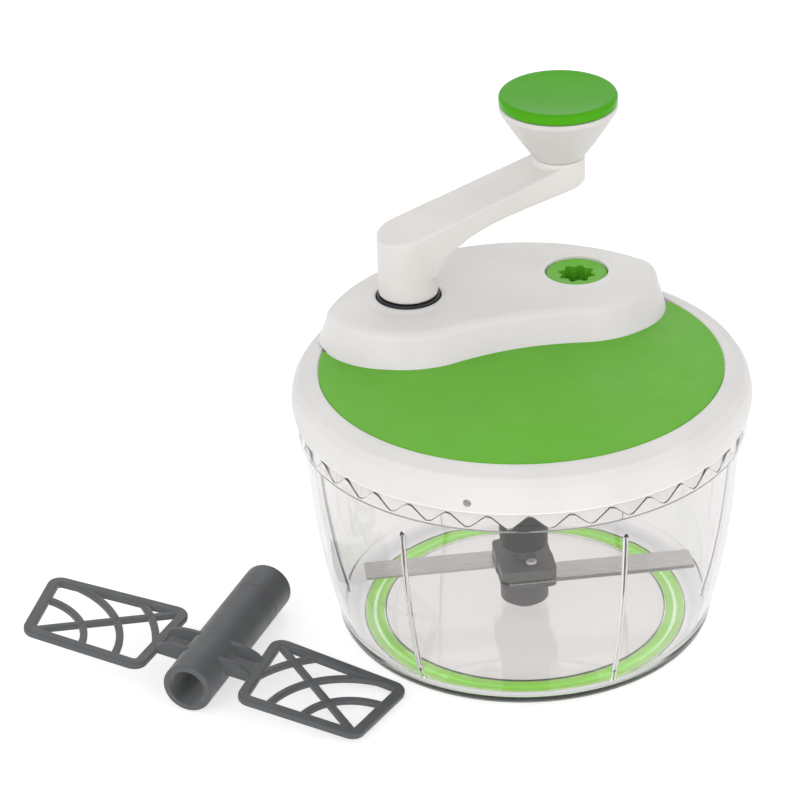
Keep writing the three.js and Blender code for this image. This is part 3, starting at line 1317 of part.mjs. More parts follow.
// The tube with its webs and fins, which end at the frames' inner bars
function paddleTube() {
  const tube = revolve([
    [0, PADDLE_TUBE_LENGTH],
    [PADDLE_TUBE_RADIUS, PADDLE_TUBE_LENGTH],
    [PADDLE_TUBE_RADIUS, PADDLE_RIM_CHAMFER],
    [PADDLE_TUBE_RADIUS - PADDLE_RIM_CHAMFER, 0],
    [0, 0],
  ], ROUND_SIDES).rotate([-90, 0, 0]);
  const bore = cylinder(PADDLE_BORE_RADIUS, -OVERRUN, PADDLE_BORE_DEPTH, ROUND_SIDES).rotate([-90, 0, 0]);
  const frameRoom = prism(frameOutline(-SEAT), -FIN_RISE, FRAME_RISE + FIN_RISE + OVERRUN);
  const webs = cut(gusset(), frameRoom);
  return cut(join(tube, webs, webs.mirror([1, 0, 0])), bore);
}

function paddleCoupler() {
  const start = PADDLE_TUBE_LENGTH + SEAT;
  const end = start + COUPLER_LENGTH;
  const body = revolve([
    [0, start],
    [PADDLE_TUBE_RADIUS, start],
    [PADDLE_TUBE_RADIUS, end - COUPLER_END_ROUND],
    [PADDLE_TUBE_RADIUS - COUPLER_END_ROUND, end],
    [0, end],
  ], ROUND_SIDES);
  const drive = prism(hexagon(OUTPUT_HEX_RADIUS + RUN), end - DRIVE_SOCKET_DEPTH, end + OVERRUN);
  return cut(body, drive).rotate([-90, 0, 0]);
}

// The assembly

function piece(name, solid, finish) {
  const mesh = new THREE.Mesh(fromSolid(solid), new THREE.MeshStandardMaterial(finish));
  mesh.name = name;
  return mesh;
}

function bowlGroup() {
  const group = new THREE.Group();
  group.add(
    piece('bowl', onLock(bowl()), CLEAR),
    piece('foot_ring_outer', footRing(FOOT_OUTER_RADIUS), GREEN),
    piece('foot_ring_inner', footRing(FOOT_OUTER_RADIUS - FOOT_BAND - FOOT_BAND_GAP), GREEN),
    piece('bowl_spindle', spindle(), STEEL),
  );
  return group;
}

function cutterGroup() {
  const group = new THREE.Group();
  group.rotation.z = BLADE_AZIMUTH;
  group.add(
    piece('blade_hub', bladeHub(), GREY),
    piece('blade_clamp', bladeClamp(), GREY),
    piece('blade_front', blade(BLADE_FRONT_TIP), STEEL),
    piece('blade_rear', blade(BLADE_REAR_TIP).rotate([0, 0, 180]), STEEL),
    piece('blade_screw_front', bladeScrew(), STEEL),
    piece('blade_screw_rear', bladeScrew().rotate([0, 0, 180]), STEEL),
    piece('blade_tube', bladeTube(), DARK),
  );
  return group;
}

function lidGroup() {
  const group = new THREE.Group();
  group.add(
    piece('lid_shell', lidShell(), WHITE),
    piece('lid_insert', lidInsert(), GREEN),
    piece('gear_housing', gearHousing(), WHITE),
    piece('lid_base_plate', lidBasePlate(), WHITE),
    ...plateScrews(),
    ...housingScrews(),
    piece('fast_axle', fastAxle(), STEEL),
    piece('slow_axle', axle(SLOW_PLACE), STEEL),
    piece('compound_axle', axle(COMPOUND_PLACE), STEEL),
    piece('output_bush', outputBush(), NATURAL),
    piece('fast_gear', fastGear(), NATURAL),
    piece('slow_gear', slowGear(), NATURAL),
    piece('compound_gear', compoundGear(), NATURAL),
    piece('output_pinion', outputPinion(), NATURAL),
    piece('fast_socket', socket(FAST_PLACE, FAST_SOCKET_RADIUS, gearTop(HIGH_LEVEL)), DARK),
    piece('slow_socket', socket(SLOW_PLACE, SLOW_SOCKET_RADIUS, gearTop(LOW_LEVEL)), GREEN),
  );
  return group;
}

function crankGroup() {
  const group = new THREE.Group();
  group.position.set(FAST_PLACE[0], FAST_PLACE[1], 0);
  group.rotation.z = ARM_AZIMUTH;
  const knob = new THREE.Group();
  knob.position.x = ARM_LENGTH;
  knob.add(
    piece('knob_body', knobBody(), WHITE),
    piece('knob_cap', knobCap(), GREEN_CAP),
    piece('knob_pin', knobPin(), STEEL),
  );
  group.add(
    piece('crank_arm', crankArm(), WHITE),
    piece('crank_spline', crankSpline(), GREY),
    piece('spline_screw', splineScrew(), STEEL),
    knob,
  );
  return group;
}

function paddleGroup() {
  const heading = new THREE.Group();
  heading.position.set(...PADDLE_PLACE);
  heading.rotation.z = PADDLE_HEADING;
  const tilt = new THREE.Group();
  tilt.rotation.y = PADDLE_TILT;
  tilt.add(
    piece('paddle_tube', paddleTube(), PADDLE_GREY),
    piece('paddle_frame_right', paddleFrame(), PADDLE_GREY),
    piece('paddle_frame_left', paddleFrame().mirror([1, 0, 0]), PADDLE_GREY),
    piece('paddle_coupler', paddleCoupler(), PADDLE_GREY),
  );
  heading.add(tilt);
  return heading;
}

const chopper = new THREE.Group();
chopper.add(bowlGroup(), cutterGroup(), lidGroup(), crankGroup(), paddleGroup());

export default chopper;
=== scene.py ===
"""A hand cranked food chopper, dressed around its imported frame: clear bowl, geared lid, crank and knob,
cutter and spare whisk paddle. Lengths are in metres in the row frame, angles in radians."""

import json
import math

import bpy
from bpy.props import FloatProperty, FloatVectorProperty, IntProperty, PointerProperty
from mathutils import Matrix, Vector


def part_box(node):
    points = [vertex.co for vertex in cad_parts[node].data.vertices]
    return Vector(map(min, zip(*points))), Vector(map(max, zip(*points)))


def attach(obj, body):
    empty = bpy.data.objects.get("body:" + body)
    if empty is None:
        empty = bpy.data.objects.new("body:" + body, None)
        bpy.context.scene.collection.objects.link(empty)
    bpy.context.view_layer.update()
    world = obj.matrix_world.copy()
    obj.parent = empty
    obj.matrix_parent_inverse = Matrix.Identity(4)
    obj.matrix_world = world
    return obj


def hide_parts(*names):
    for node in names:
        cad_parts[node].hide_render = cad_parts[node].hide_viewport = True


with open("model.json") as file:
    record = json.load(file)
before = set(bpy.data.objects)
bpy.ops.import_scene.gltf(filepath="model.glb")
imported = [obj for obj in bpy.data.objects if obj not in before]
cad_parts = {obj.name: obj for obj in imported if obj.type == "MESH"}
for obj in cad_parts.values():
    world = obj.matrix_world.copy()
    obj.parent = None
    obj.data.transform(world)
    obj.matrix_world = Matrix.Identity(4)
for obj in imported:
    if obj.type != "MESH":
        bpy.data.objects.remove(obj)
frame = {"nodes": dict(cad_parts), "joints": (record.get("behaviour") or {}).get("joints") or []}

bl_info = {
    "name": "Crank food chopper",
    "version": (1, 0, 0),
    "blender": (4, 5, 0),
    "location": "View3D > Sidebar > Chopper",
    "description": "Builds the pieces, materials and stage of a hand cranked food chopper",
    "category": "Object",
}

MM = 0.001
FULL_TURN = 2 * math.pi
QUARTER_TURN = math.pi / 2
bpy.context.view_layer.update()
HOUSING_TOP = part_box("slow_socket")[1].z
LID_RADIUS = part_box("lid_shell")[1].x


def joint_place(name):
    """The place of a hinge of the frame."""
    found = next(joint for joint in frame["joints"] if joint["name"] == name)
    return Vector(found["pos_m"])


FAST_PLACE = joint_place("crank_spin")
SLOW_PLACE = joint_place("slow_spin")
COMPOUND_PLACE = joint_place("compound_spin")
KNOB_PLACE = joint_place("knob_spin")
ARM_AZIMUTH = math.atan2(KNOB_PLACE.y - FAST_PLACE.y, KNOB_PLACE.x - FAST_PLACE.x)
ARM_LENGTH = (KNOB_PLACE - FAST_PLACE).xy.length


# Properties: sizes and colours that a user would change


def size(name, millimetres, description):
    """A length property whose default is given in millimetres."""
    return FloatProperty(
        name=name,
        description=description,
        default=millimetres * MM,
        min=0,
        precision=5,
        unit="LENGTH",
    )


def angle(name, degrees, description):
    """An angle property whose default is given in degrees."""
    return FloatProperty(
        name=name,
        description=description,
        default=math.radians(degrees),
        unit="ROTATION",
    )


def position(name, across, along, up, description):
    """A point in the row frame as a property, from millimetres."""
    return FloatVectorProperty(
        name=name,
        description=description,
        default=(across * MM, along * MM, up * MM),
        size=3,
        precision=5,
        subtype="TRANSLATION",
    )


def drawn_point(name, across, along, description):
    """A point of a flat drawing as a property, from millimetres."""
    return FloatVectorProperty(
        name=name,
        description=description,
        default=(across * MM, along * MM),
        size=2,
        precision=5,
        subtype="COORDINATES",
        unit="LENGTH",
    )


def share(name, default, description):
    """A plain factor."""
    return FloatProperty(name=name, description=description, default=default, subtype="FACTOR")


def count(name, default, description):
    """A number of steps or copies."""
    return IntProperty(name=name, description=description, default=default, min=1)


def colour(name, red, green, blue, description):
    """A linear colour."""
    return FloatVectorProperty(
        name=name,
        description=description,
        default=(red, green, blue),
        size=3,
        subtype="COLOR",
        min=0,
        max=1,
    )


class BowlSizes(bpy.types.PropertyGroup):
    """Sizes of the clear bowl and of the lock that it shares with the lid."""

    heel_radius: size("Heel radius", 79.3, "Outer radius where the wall meets the heel")
    heel_round: size("Heel round", 9.5, "Radius of the heel's outer rounding")
    top_radius: size("Top radius", 90.1, "Outer radius of the wall under the shoulder")
    bulge_radius: share("Bulge radius", 0.926, "Share of the taper where the wall's bend is pulled")
    bulge_height: share("Bulge height", 0.43, "Share of the height where the wall's bend is pulled")
    wall: size("Wall", 2.6, "Thickness of the clear wall")
    floor: size("Floor", 4, "Thickness of the floor")
    inner_corner: size("Inner corner", 8, "Reach of the rounding between floor and wall")
    shoulder: size("Shoulder height", 92.3, "Height of the shoulder under the collar")
    ledge: size("Lock ledge", 0.8, "Least thickness of the ledge that carries the lock")
    tooth: size("Lock tooth", 6, "Height of the lock's zigzag")
    teeth: count("Lock teeth", 35, "Number of teeth round the lock")
    lock_phase: angle("Lock phase", 1.72, "Turn of the first crest from the front")
    collar_step: size("Collar step", 3, "Reach of the shoulder under the collar")
    collar_flare: size("Collar flare", 0.6, "How far the collar widens towards its top")
    collar_wall: size("Collar wall", 1.5, "Thickness of the collar")
    collar_above_lock: size("Collar above lock", 2.9, "Height of the collar over the crests")
    neck_inset: size("Neck inset", 0.8, "How far the neck's outside lies inside the wall's top")
    neck_rise: size("Neck rise", 3.6, "Height of the neck over the collar")
    groove_outer: size("Groove outer radius", 68.6, "Outer radius of the foot's groove")
    groove_inner: size("Groove inner radius", 59.7, "Inner radius of the foot's groove")
    groove_depth: size("Groove depth", 2.3, "Depth of the foot's groove")
    boss_radius: size("Boss radius", 4.5, "Radius of the boss round the spindle")
    boss_top: size("Boss top", 7.4, "Height of the boss round the spindle")
    spindle_bore: size("Spindle bore", 2.8, "Radius of the spindle's hole")
    spindle_floor: size("Spindle floor", 1.8, "Height of the hole's floor")
    rib_pairs: count("Rib pairs", 3, "Pairs of ribs inside the wall")
    rib_azimuth: angle("Rib azimuth", -2.8, "Turn of the first pair's middle from the front")
    rib_spread: angle("Rib spread", 60.6, "Angle between the two ribs of a pair")
    rib_width: size("Rib width", 3, "Width of a rib at the wall")
    rib_depth: size("Rib depth", 1.7, "How far a rib stands off the wall")
    rib_bottom: size("Rib bottom", 7.5, "Height of a rib's foot")
    rib_top: size("Rib top", 84, "Height of a rib's head")
    edge: size("Edge", 0.5, "Rounding of the moulded edges")


class FootSizes(bpy.types.PropertyGroup):
    """Sizes of the two green bands under the bowl."""

    outer: size("Outer radius", 68.3, "Outer radius of the outer band")
    band: size("Band", 3.3, "Width of a band")
    gap: size("Gap", 1.4, "Clear space between the bands")
    thickness: size("Thickness", 2, "Height of a band")
    edge: size("Edge", 0.6, "Rounding of a band's edges")


class CutterSizes(bpy.types.PropertyGroup):
    """Sizes of the hub, its clamp, the blades and the drive tube."""

    azimuth: angle("Azimuth", 8.9, "Turn of the blades from the row's X axis")
    hub_radius: size("Hub radius", 10.2, "Radius of the lower hub")
    hub_bottom: size("Hub bottom", 7.7, "Height of the hub's underside")
    seat: size("Blade seat", 20.9, "Height of the face that the blades lie on")
    bore: size("Bore", 2.8, "Radius of the hub's bore over the spindle")
    bore_top: size("Bore top", 19.8, "Height of the bore's end")
    plate: size("Lobe plate", 2, "Thickness of the hub's lobes under the blades")
    lobe_long: size("Lobe long side", 12, "Reach of a lobe along its blade")
    lobe_short: size("Lobe short side", 11.6, "Reach of a lobe away from its blade")
    lobe_reach: size("Lobe reach", 14.4, "Reach of a lobe across the blades")
    lobe_corner: size("Lobe corner", 3, "Rounding of a lobe's corners in plan")
    clamp_bottom: size("Clamp bottom", 22.5, "Height of the clamp's underside")
    clamp_top: size("Clamp top", 27.1, "Height of the clamp's top")
    post_radius: size("Post radius", 4.5, "Radius of the post inside the tube")
    post_top: size("Post top", 50, "Height of the post's end")
    blade_width: size("Blade width", 14, "Width of a blade")
    blade_offset: size("Blade offset", 7.6, "Distance of a blade's middle from the axis")
    blade_thickness: size("Blade thickness", 1, "Thickness of the steel strip")
    blade_root: size("Blade root", 8.6, "How far a strip runs behind the axis")
    front_tip: size("Front tip", 71.4, "Reach of the front blade")
    rear_tip: size("Rear tip", 67.6, "Reach of the rear blade")
    bevel: size("Ground bevel", 1.2, "Width of the ground edge")
    bevel_foot: size("Bevel foot", 0.3, "Thickness left under the ground edge")
    tip_corner: size("Tip corner", 1.4, "Rounding of a blade's tip in plan")
    tube_radius: size("Tube radius", 10.2, "Radius of the drive tube")
    tube_bottom: size("Tube bottom", 33.4, "Height of the tube's lower end")
    tube_top: size("Tube top", 98.4, "Height of the tube's upper end")
    socket_depth: size("Drive socket", 12, "Depth of the hexagon socket")
    socket_radius: size("Hexagon radius", 6.8, "Radius over the hexagon's corners")
    clearance: size("Clearance", 0.3, "Space round the post and screws")
    screw_along: size("Screw along", 1.9, "Place of a screw along its blade")
    screw_head: size("Screw head", 2.35, "Radius of a screw's head")
    screw_rise: size("Screw rise", 1.5, "Height of a screw's head")
    screw_shank: size("Screw shank", 1.2, "Radius of a screw's shank")
    screw_length: size("Screw length", 11, "Reach of a screw below the clamp's top")
    recess: size("Recess", 0.55, "Width of the cross recess")
    edge: size("Edge", 0.6, "Rounding of the moulded edges")


class LidSizes(bpy.types.PropertyGroup):
    """Sizes of the white ring, its skirt and spigot and of the green cover."""

    run: size("Running gap", 0.4, "Space between the lid and the bowl")
    foot_gap: size("Foot gap", 0.2, "Space between the ring's foot and the collar")
    foot_lip: size("Foot lip", 0.8, "Drop of the ring's thin outer lip over the collar")
    seat: size("Seat", 0.3, "Space between fitted pieces")
    low_inset: size("Low inset", 0.7, "How far the ring's foot lies inside its belly")
    belly_rise: size("Belly rise", 2.8, "Height of the belly over the ring's foot")
    belly: size("Belly", 3.4, "Height of the belly")
    shoulder_inset: size("Shoulder inset", 1.1, "Draw of the ring at its shoulder")
    shoulder_rise: size("Shoulder rise", 4.3, "Height of the shoulder over the belly")
    brow_inset: size("Brow inset", 3.4, "Draw of the ring at its brow")
    brow_rise: size("Brow rise", 3.5, "Height of the brow over the shoulder")
    crest_inset: size("Crest inset", 8.2, "Draw of the ring at its crest")
    crest_rise: size("Crest rise", 2.4, "Height of the crest over the brow")
    spigot_gap: size("Spigot gap", 0.4, "Space between the spigot and the neck")
    spigot_wall: size("Spigot wall", 1.6, "Thickness of the spigot")
    plate_bottom: size("Spigot bottom", 99.8, "Height of the spigot's lower edge")
    deck_bottom: size("Deck bottom", 114, "Height of the deck's underside")
    deck_top: size("Deck top", 116.3, "Height of the deck's top")
    fast_opening: size("Fast opening", 22.9, "Radius of the deck's hole round the fast gear")
    compound_opening: size("Compound opening", 12.4, "Radius of the deck's hole round the pinion")
    slow_opening: size("Slow opening", 12, "Radius of the deck's hole round the slow socket")
    vent_azimuth: angle("Vent azimuth", -13.2, "Turn of the vent from the front")
    vent_rise: size("Vent rise", 3.8, "Height of the vent over the ring's foot")
    vent_radius: size("Vent radius", 1.7, "Radius of the vent hole")
    vent_depth: size("Vent depth", 3.2, "Depth of the vent hole")
    insert_inset: size("Cover inset", 11.4, "How far the green cover's edge lies inside the ring")
    insert_edge_drop: size("Cover edge drop", 0.2, "Drop of the cover's edge from the crest")
    crease_inset: size("Crease inset", 28.6, "Distance of the cover's crease from its edge")
    crease_rise: size("Crease rise", 2.1, "Rise of the crease over the edge")
    crown_rise: size("Crown rise", 0.6, "Rise of the middle over the crease")
    edge: size("Edge", 0.5, "Rounding of the moulded edges")


class HousingSizes(bpy.types.PropertyGroup):
    """Sizes of the raised gear housing and its two sockets."""

    back_inset: size("Back inset", 6.8, "How far the back edge lies inside the lid's ring")
    fast_past: size("Fast lobe", 6.5, "How far the fast lobe runs past the back edge")
    slow_past: size("Slow lobe", 5.6, "How far the slow lobe runs past the back edge")
    waist: size("Waist radius", 120, "Radius of the waist between the lobes")
    corner: size("Corner radius", 14, "Radius of the two back corners")
    wall: size("Wall", 2.4, "Thickness of the cover")
    edge_inset: size("Lean", 3.2, "How far the wall leans in up to the fillet")
    back_lean: size("Back lean", 4.2, "How far the back wall leans in up to the fillet")
    fillet: size("Fillet", 4.6, "Radius of the top fillet")
    lip: size("Lip", 1.9, "Width of the raised lip round a socket")
    lip_rise: size("Lip rise", 1.0, "Height of the lip")
    lip_skirt: size("Lip skirt", 3.4, "Reach of the slope round a lip")
    fast_socket: size("Fast socket", 13.35, "Radius of the dark socket's disc")
    fast_rise: size("Fast rise", 1.9, "Height of the dark ring over the housing")
    slow_socket: size("Slow socket", 13, "Radius of the green socket's disc")
    fast_gap: size("Fast gap", 0.15, "Space between the dark ring and the crank's column")
    fast_dish: size("Fast dish", 0.3, "Drop of the dark socket's top towards its hole")
    slow_dish: size("Slow dish", 0.6, "Drop of the green socket's top towards its hole")
    disc: size("Disc", 3, "Thickness of a socket's disc")
    tube: size("Socket tube", 10, "Radius of a socket's tube")
    floor: size("Socket floor", 121, "Height of the star hole's floor")
    fast_bottom: size("Fast bottom", 115.5, "Height of the fast socket's lower end")
    slow_bottom: size("Slow bottom", 109.5, "Height of the slow socket's lower end")
    axle: size("Axle bore", 3.3, "Radius of a socket's bore over its axle")
    axle_top: size("Axle top", 118.1, "Height of the bore's end")
    star_radius: size("Star radius", 7.1, "Mean radius of the star hole")
    star_lobe: size("Star lobe", 0.95, "Height of the star's lobes")
    star_lobes: count("Star lobes", 8, "Number of lobes of the star hole")
    edge: size("Edge", 0.5, "Rounding of the moulded edges")


class CrankSizes(bpy.types.PropertyGroup):
    """Sizes of the crank's column and arm and of the knob."""

    column: size("Column radius", 12.5, "Radius of the upright column")
    bottom: size("Column bottom", 136.7, "Height of the column's lower end")
    end_radius: size("End radius", 11.1, "Radius of the arm's outer end")
    top_at_column: size("Top at column", 166, "Height of the arm's top over the column")
    top_at_knob: size("Top at knob", 181, "Height of the arm's top under the knob")
    thick_at_column: size("Thickness at column", 6.2, "Thickness of the arm at the column")
    thick_at_knob: size("Thickness at knob", 11.9, "Thickness of the arm at the knob")
    end_blend: size("End blend", 12, "Length of the flat under the arm's end")
    pad_top: size("Pad top", 181.5, "Height of the pad under the knob")
    haunch_foot: size("Haunch foot", 146.3, "Height where the haunch leaves the column")
    haunch_reach: size("Haunch reach", 37, "Length of the haunch along the arm")
    haunch_start: share("Haunch start", 0.63, "Where the haunch starts, as a share of the column")
    seat: size("Seat", 0.3, "Space between the pad and the knob")
    plug_seat: size("Plug seat", 9.3, "Radius of the seat of the lobed plug")
    plug_seat_depth: size("Plug seat depth", 2.7, "Depth of that seat")
    screw: size("Screw hole", 1.9, "Radius of the plug screw's hole")
    screw_top: size("Screw top", 145, "Height of that hole's end")
    pin: size("Pin hole", 3.3, "Radius of the knob pin's hole")
    pin_bottom: size("Pin bottom", 172.6, "Height of that hole's end")
    softness: size("Softness", 0.55, "Grain of the mesh that rounds the crank's edges")
    smoothing: count("Smoothing", 14, "Passes that round the crank's edges")
    neck: size("Knob neck", 10.9, "Radius of the knob at its foot")
    rim: size("Knob rim", 24.9, "Radius of the knob's rim")
    rim_bottom: size("Rim bottom", 203.2, "Height of the rim's lower edge")
    rim_top: size("Rim top", 205.3, "Height of the rim's upper edge")
    flare: share("Flare", 0.56, "Pull of the knob's flare")
    knob_wall: size("Knob wall", 2.2, "Thickness of the knob's wall")
    hub: size("Knob hub", 6, "Radius of the knob's inner hub")
    hub_top: size("Hub top", 198.7, "Height of the knob's inner hub")
    cap: size("Cap radius", 25, "Radius of the green cap")
    cap_thickness: size("Cap thickness", 4.3, "Height of the cap over the rim")
    cap_plug: size("Cap plug", 2, "Depth of the cap's plug in the rim")
    cap_dish: size("Cap dish", 1.4, "Depth of the dish in the cap's top")
    cap_edge: size("Cap edge", 1.8, "Width of the round edge of the cap")
    cap_bend: share("Cap bend", 0.5, "Where the dish flattens out, as a share of the radius")
    edge: size("Edge", 0.5, "Rounding of the moulded edges")


class PaddleSizes(bpy.types.PropertyGroup):
    """Sizes of the spare whisk paddle, in its own frame: tube along Y, frames along X."""

    place: position("Place", -138.4, -76.7, 10.95, "Middle of the tube's open end")
    heading: angle("Heading", -19.9, "Turn of the tube from the row's Y axis")
    tilt: angle("Tilt", 8, "Roll of the frames about the tube")
    tube: size("Tube radius", 10.7, "Outer radius of the tube")
    bore: size("Bore", 7.9, "Radius of the tube's bore")
    bore_depth: size("Bore depth", 60, "Depth of the bore")
    length: size("Tube length", 67.3, "Length of the tube")
    seat: size("Seat", 0.3, "Gap between the tube and its coupler")
    coupler: size("Coupler", 17, "Length of the coupler")
    socket_depth: size("Drive socket", 12, "Depth of the hexagon socket")
    socket_radius: size("Hexagon radius", 6.8, "Radius over the hexagon's corners")
    rise: size("Rise", 2.2, "Height of the frames over the tube's axis")
    thickness: size("Thickness", 3, "Thickness of the frames")
    bar: size("Bar", 4.7, "Width of a frame's outer bar")
    lattice: size("Lattice bar", 3.2, "Width of a lattice bar")
    inner_foot: drawn_point("Inner foot", 21, -0.4, "Corner next to the tube's open end")
    outer_foot: drawn_point("Outer foot", 75.6, -0.6, "Far corner at the tube's open end")
    outer_head: drawn_point("Outer head", 82, 42, "Far corner towards the coupler")
    inner_head: drawn_point("Inner head", 18.6, 47.6, "Corner next to the tube towards the coupler")
    corner: size("Corner", 6, "Outer radius of a frame's corners")
    web_low: size("Web low", 14.5, "Where the web starts along the tube")
    web_high: size("Web high", 29, "Where the web ends along the tube")
    web: size("Web", 1.8, "Thickness of the web")
    web_reach: size("Web reach", 22.6, "Reach of the web from the tube's axis")
    fin: size("Fin", 2.2, "Thickness of a fin")
    fin_rise: size("Fin rise", 6.2, "Rise of a fin over the frames' middle")
    edge: size("Edge", 0.8, "Rounding of the moulded edges")


class Finish(bpy.types.PropertyGroup):
    """Colours of the materials."""

    clear: colour("Clear", 0.915, 0.902, 0.895, "Tint of the clear bowl")
    white: colour("White", 0.70, 0.685, 0.67, "White plastic of the lid")
    warm: colour("Warm white", 0.70, 0.675, 0.65, "White plastic of the crank")
    # Knob white is the same white plastic painted darker: painted shade for the lesser light that reaches
    # the knob's cone from below.
    knob: colour("Knob white", 0.63, 0.61, 0.59, "White plastic of the knob")
    # Painted shade: the darker tone that the outside of the bowl's heel is mixed towards.
    heel: colour("Heel shade", 0.70, 0.705, 0.72, "Shade of the clear bowl along its heel")
    green: colour("Green", 0.116, 0.41, 0.019, "Green cover and socket")
    cap: colour("Cap green", 0.066, 0.353, 0.006, "Green cap of the knob")
    # Foot green is partly the bands' own bright green and partly painted light: raised to make up for light
    # that does not reach the bands.
    rubber: colour("Foot green", 0.330, 0.840, 0.015, "Green foot bands")
    # Dark is the dark plastic painted darker than its own tone: painted shade that cancels the haze of the
    # bowl's wall over the tube.
    dark: colour("Dark", 0.010, 0.010, 0.0115, "Dark tube and socket ring")
    hub: colour("Hub grey", 0.110, 0.108, 0.106, "Grey hub and clamp")
    paddle: colour("Paddle grey", 0.080, 0.085, 0.090, "Grey paddle")
    natural: colour("Natural", 0.72, 0.70, 0.64, "Nylon of the gears")
    steel: colour("Steel", 0.52, 0.505, 0.495, "Blades, axles and screws")


class StageSettings(bpy.types.PropertyGroup):
    """The floor, the lights and the camera."""

    floor: size("Floor", 12000, "Radius of the floor")
    floor_gap: size("Floor gap", 0.15, "How far the floor lies under the bowl's clear underside")
    floor_colour: colour("Floor colour", 0.55, 0.55, 0.55, "Pale floor")
    glow: FloatProperty(name="Glow", description="Light that the floor gives by itself", default=0.62)
    sky: FloatProperty(name="Sky", description="Strength of the light from above", default=0.5)
    side: FloatProperty(name="Side", description="Strength of the light from the sides", default=1.1)
    horizon: FloatProperty(name="Horizon", description="Strength of the light at the horizon", default=0.15)
    key: FloatProperty(name="Key light", description="Power of the key light", default=7.0, unit="POWER")
    fill: FloatProperty(name="Fill light", description="Power of the fill light", default=4.0, unit="POWER")
    back: FloatProperty(name="Back light", description="Power of the back light", default=2.0, unit="POWER")
    target: position("Target", 0, 0, 100, "Point that the lights shine at")
    key_place: position("Key place", -800, -1200, 900, "Place of the key light")
    fill_place: position("Fill place", 1000, -1100, 700, "Place of the fill light")
    back_place: position("Back place", 200, 900, 1200, "Place of the back light")
    front_width: size("Front width", 1500, "Width of the key and fill lights")
    back_width: size("Back width", 1200, "Width of the back light")
    camera: position("Camera", 3.442, -1274.153, 796.359, "Place of the camera")
    pitch: angle("Pitch", 28.566147, "How far the camera looks down")
    yaw: angle("Yaw", -2.415437, "Turn of the camera from the row's Y axis")
    roll: angle("Roll", -2.032485, "Roll of the camera about its view")
    lens: FloatProperty(
        name="Lens", description="Focal length on a 36 mm sensor", default=157.6116, unit="CAMERA"
    )


class ChopperSettings(bpy.types.PropertyGroup):
    """All settings of the chopper."""

    bowl: PointerProperty(type=BowlSizes, name="Bowl", description="Sizes of the bowl")
    foot: PointerProperty(type=FootSizes, name="Foot", description="Sizes of the foot bands")
    cutter: PointerProperty(type=CutterSizes, name="Cutter", description="Sizes of the cutter")
    lid: PointerProperty(type=LidSizes, name="Lid", description="Sizes of the lid")
    housing: PointerProperty(type=HousingSizes, name="Housing", description="Sizes of the housing")
    crank: PointerProperty(type=CrankSizes, name="Crank", description="Sizes of crank and knob")
    paddle: PointerProperty(type=PaddleSizes, name="Paddle", description="Sizes of the paddle")
    finish: PointerProperty(type=Finish, name="Finish", description="Colours")
    stage: PointerProperty(type=StageSettings, name="Stage", description="Floor, lights, camera")


def settings():
    """The chopper's settings in the scene."""
    return bpy.context.scene.chopper


# Outlines and profiles

LATHE_STEPS = 192
ROUND_STEPS = 96
HOLE_STEPS = 64
HEXAGON_SIDES = 6
CORNER_STEPS = 6
EDGE_STEPS = 3
FINE_EDGE_STEPS = 2
CURVE_STEPS = 24
SHARP_ANGLE = math.radians(32)
STRAIGHT_ANGLE = 1e-4
ON_AXIS = 1e-4 * MM
OVERRUN = 2 * MM


def polar(radius, turn, centre=(0, 0)):
    """A point at a radius and an angle from a centre."""
    return Vector((centre[0] + radius * math.cos(turn), centre[1] + radius * math.sin(turn)))


def arc(centre, radius, start, end, steps):
    """Points on an arc, both ends included."""
    return [polar(radius, start + (end - start) * i / steps, centre) for i in range(steps + 1)]


def circle(radius, steps, centre=(0, 0)):
    """Points round a full circle."""
    return [polar(radius, FULL_TURN * i / steps, centre) for i in range(steps)]


def bend(start, control, end, steps=CURVE_STEPS):
    """Points on a quadratic curve."""
    first, pull, last = Vector(start), Vector(control), Vector(end)
    points = []
    for i in range(steps + 1):
        t = i / steps
        points.append(first * (1 - t) ** 2 + pull * 2 * t * (1 - t) + last * t**2)
    return points


def turned_corner(before, corner, after, radius, steps):
    """The points of an arc that rounds a corner."""
    back = (before - corner).normalized()
    ahead = (after - corner).normalized()
    half = back.angle(ahead) / 2
    if abs(half - QUARTER_TURN) < STRAIGHT_ANGLE:
        return [corner]
    centre = corner + (back + ahead).normalized() * radius / math.sin(half)
    start = corner + back * radius / math.tan(half) - centre
    end = corner + ahead * radius / math.tan(half) - centre
    first = math.atan2(start.y, start.x)
    sweep = (math.atan2(end.y, end.x) - first + math.pi) % FULL_TURN - math.pi
    return arc(centre, radius, first, first + sweep, steps)


def rounded(corners, closed=True, steps=CORNER_STEPS):
    """An outline whose corners (x, y, radius) are arcs. An open one keeps its two ends."""
    points = []
    last = len(corners) - 1
    for i, (x, y, radius) in enumerate(corners):
        corner = Vector((x, y))
        if radius == 0 or (not closed and i in (0, last)):
            points.append(corner)
            continue
        before = Vector(corners[i - 1][:2])
        after = Vector(corners[(i + 1) % (last + 1)][:2])
        points.extend(turned_corner(before, corner, after, radius, steps))
    return points


def open_outline(corners):
    """An open outline with small rounded edges."""
    return rounded(corners, closed=False, steps=EDGE_STEPS)


def rectangle(left, right, low, high, radius=0):
    """The corners of a rectangle with their rounding, anticlockwise."""
    return [(left, low, radius), (right, low, radius), (right, high, radius), (left, high, radius)]


def pairs(points):
    """Points as pairs of radius and height, for a profile."""
    return [(point[0], point[1]) for point in points]


def plain(points):
    """Points as corners without rounding."""
    return [(point[0], point[1], 0) for point in points]


# Meshes


def new_object(name, vertices, faces):
    """A linked object with a mesh of outward faces."""
    mesh = bpy.data.meshes.new(name)
    mesh.from_pydata(vertices, [], faces)
    mesh.validate()
    made = bpy.data.objects.new(name, mesh)
    bpy.context.scene.collection.objects.link(made)
    return made


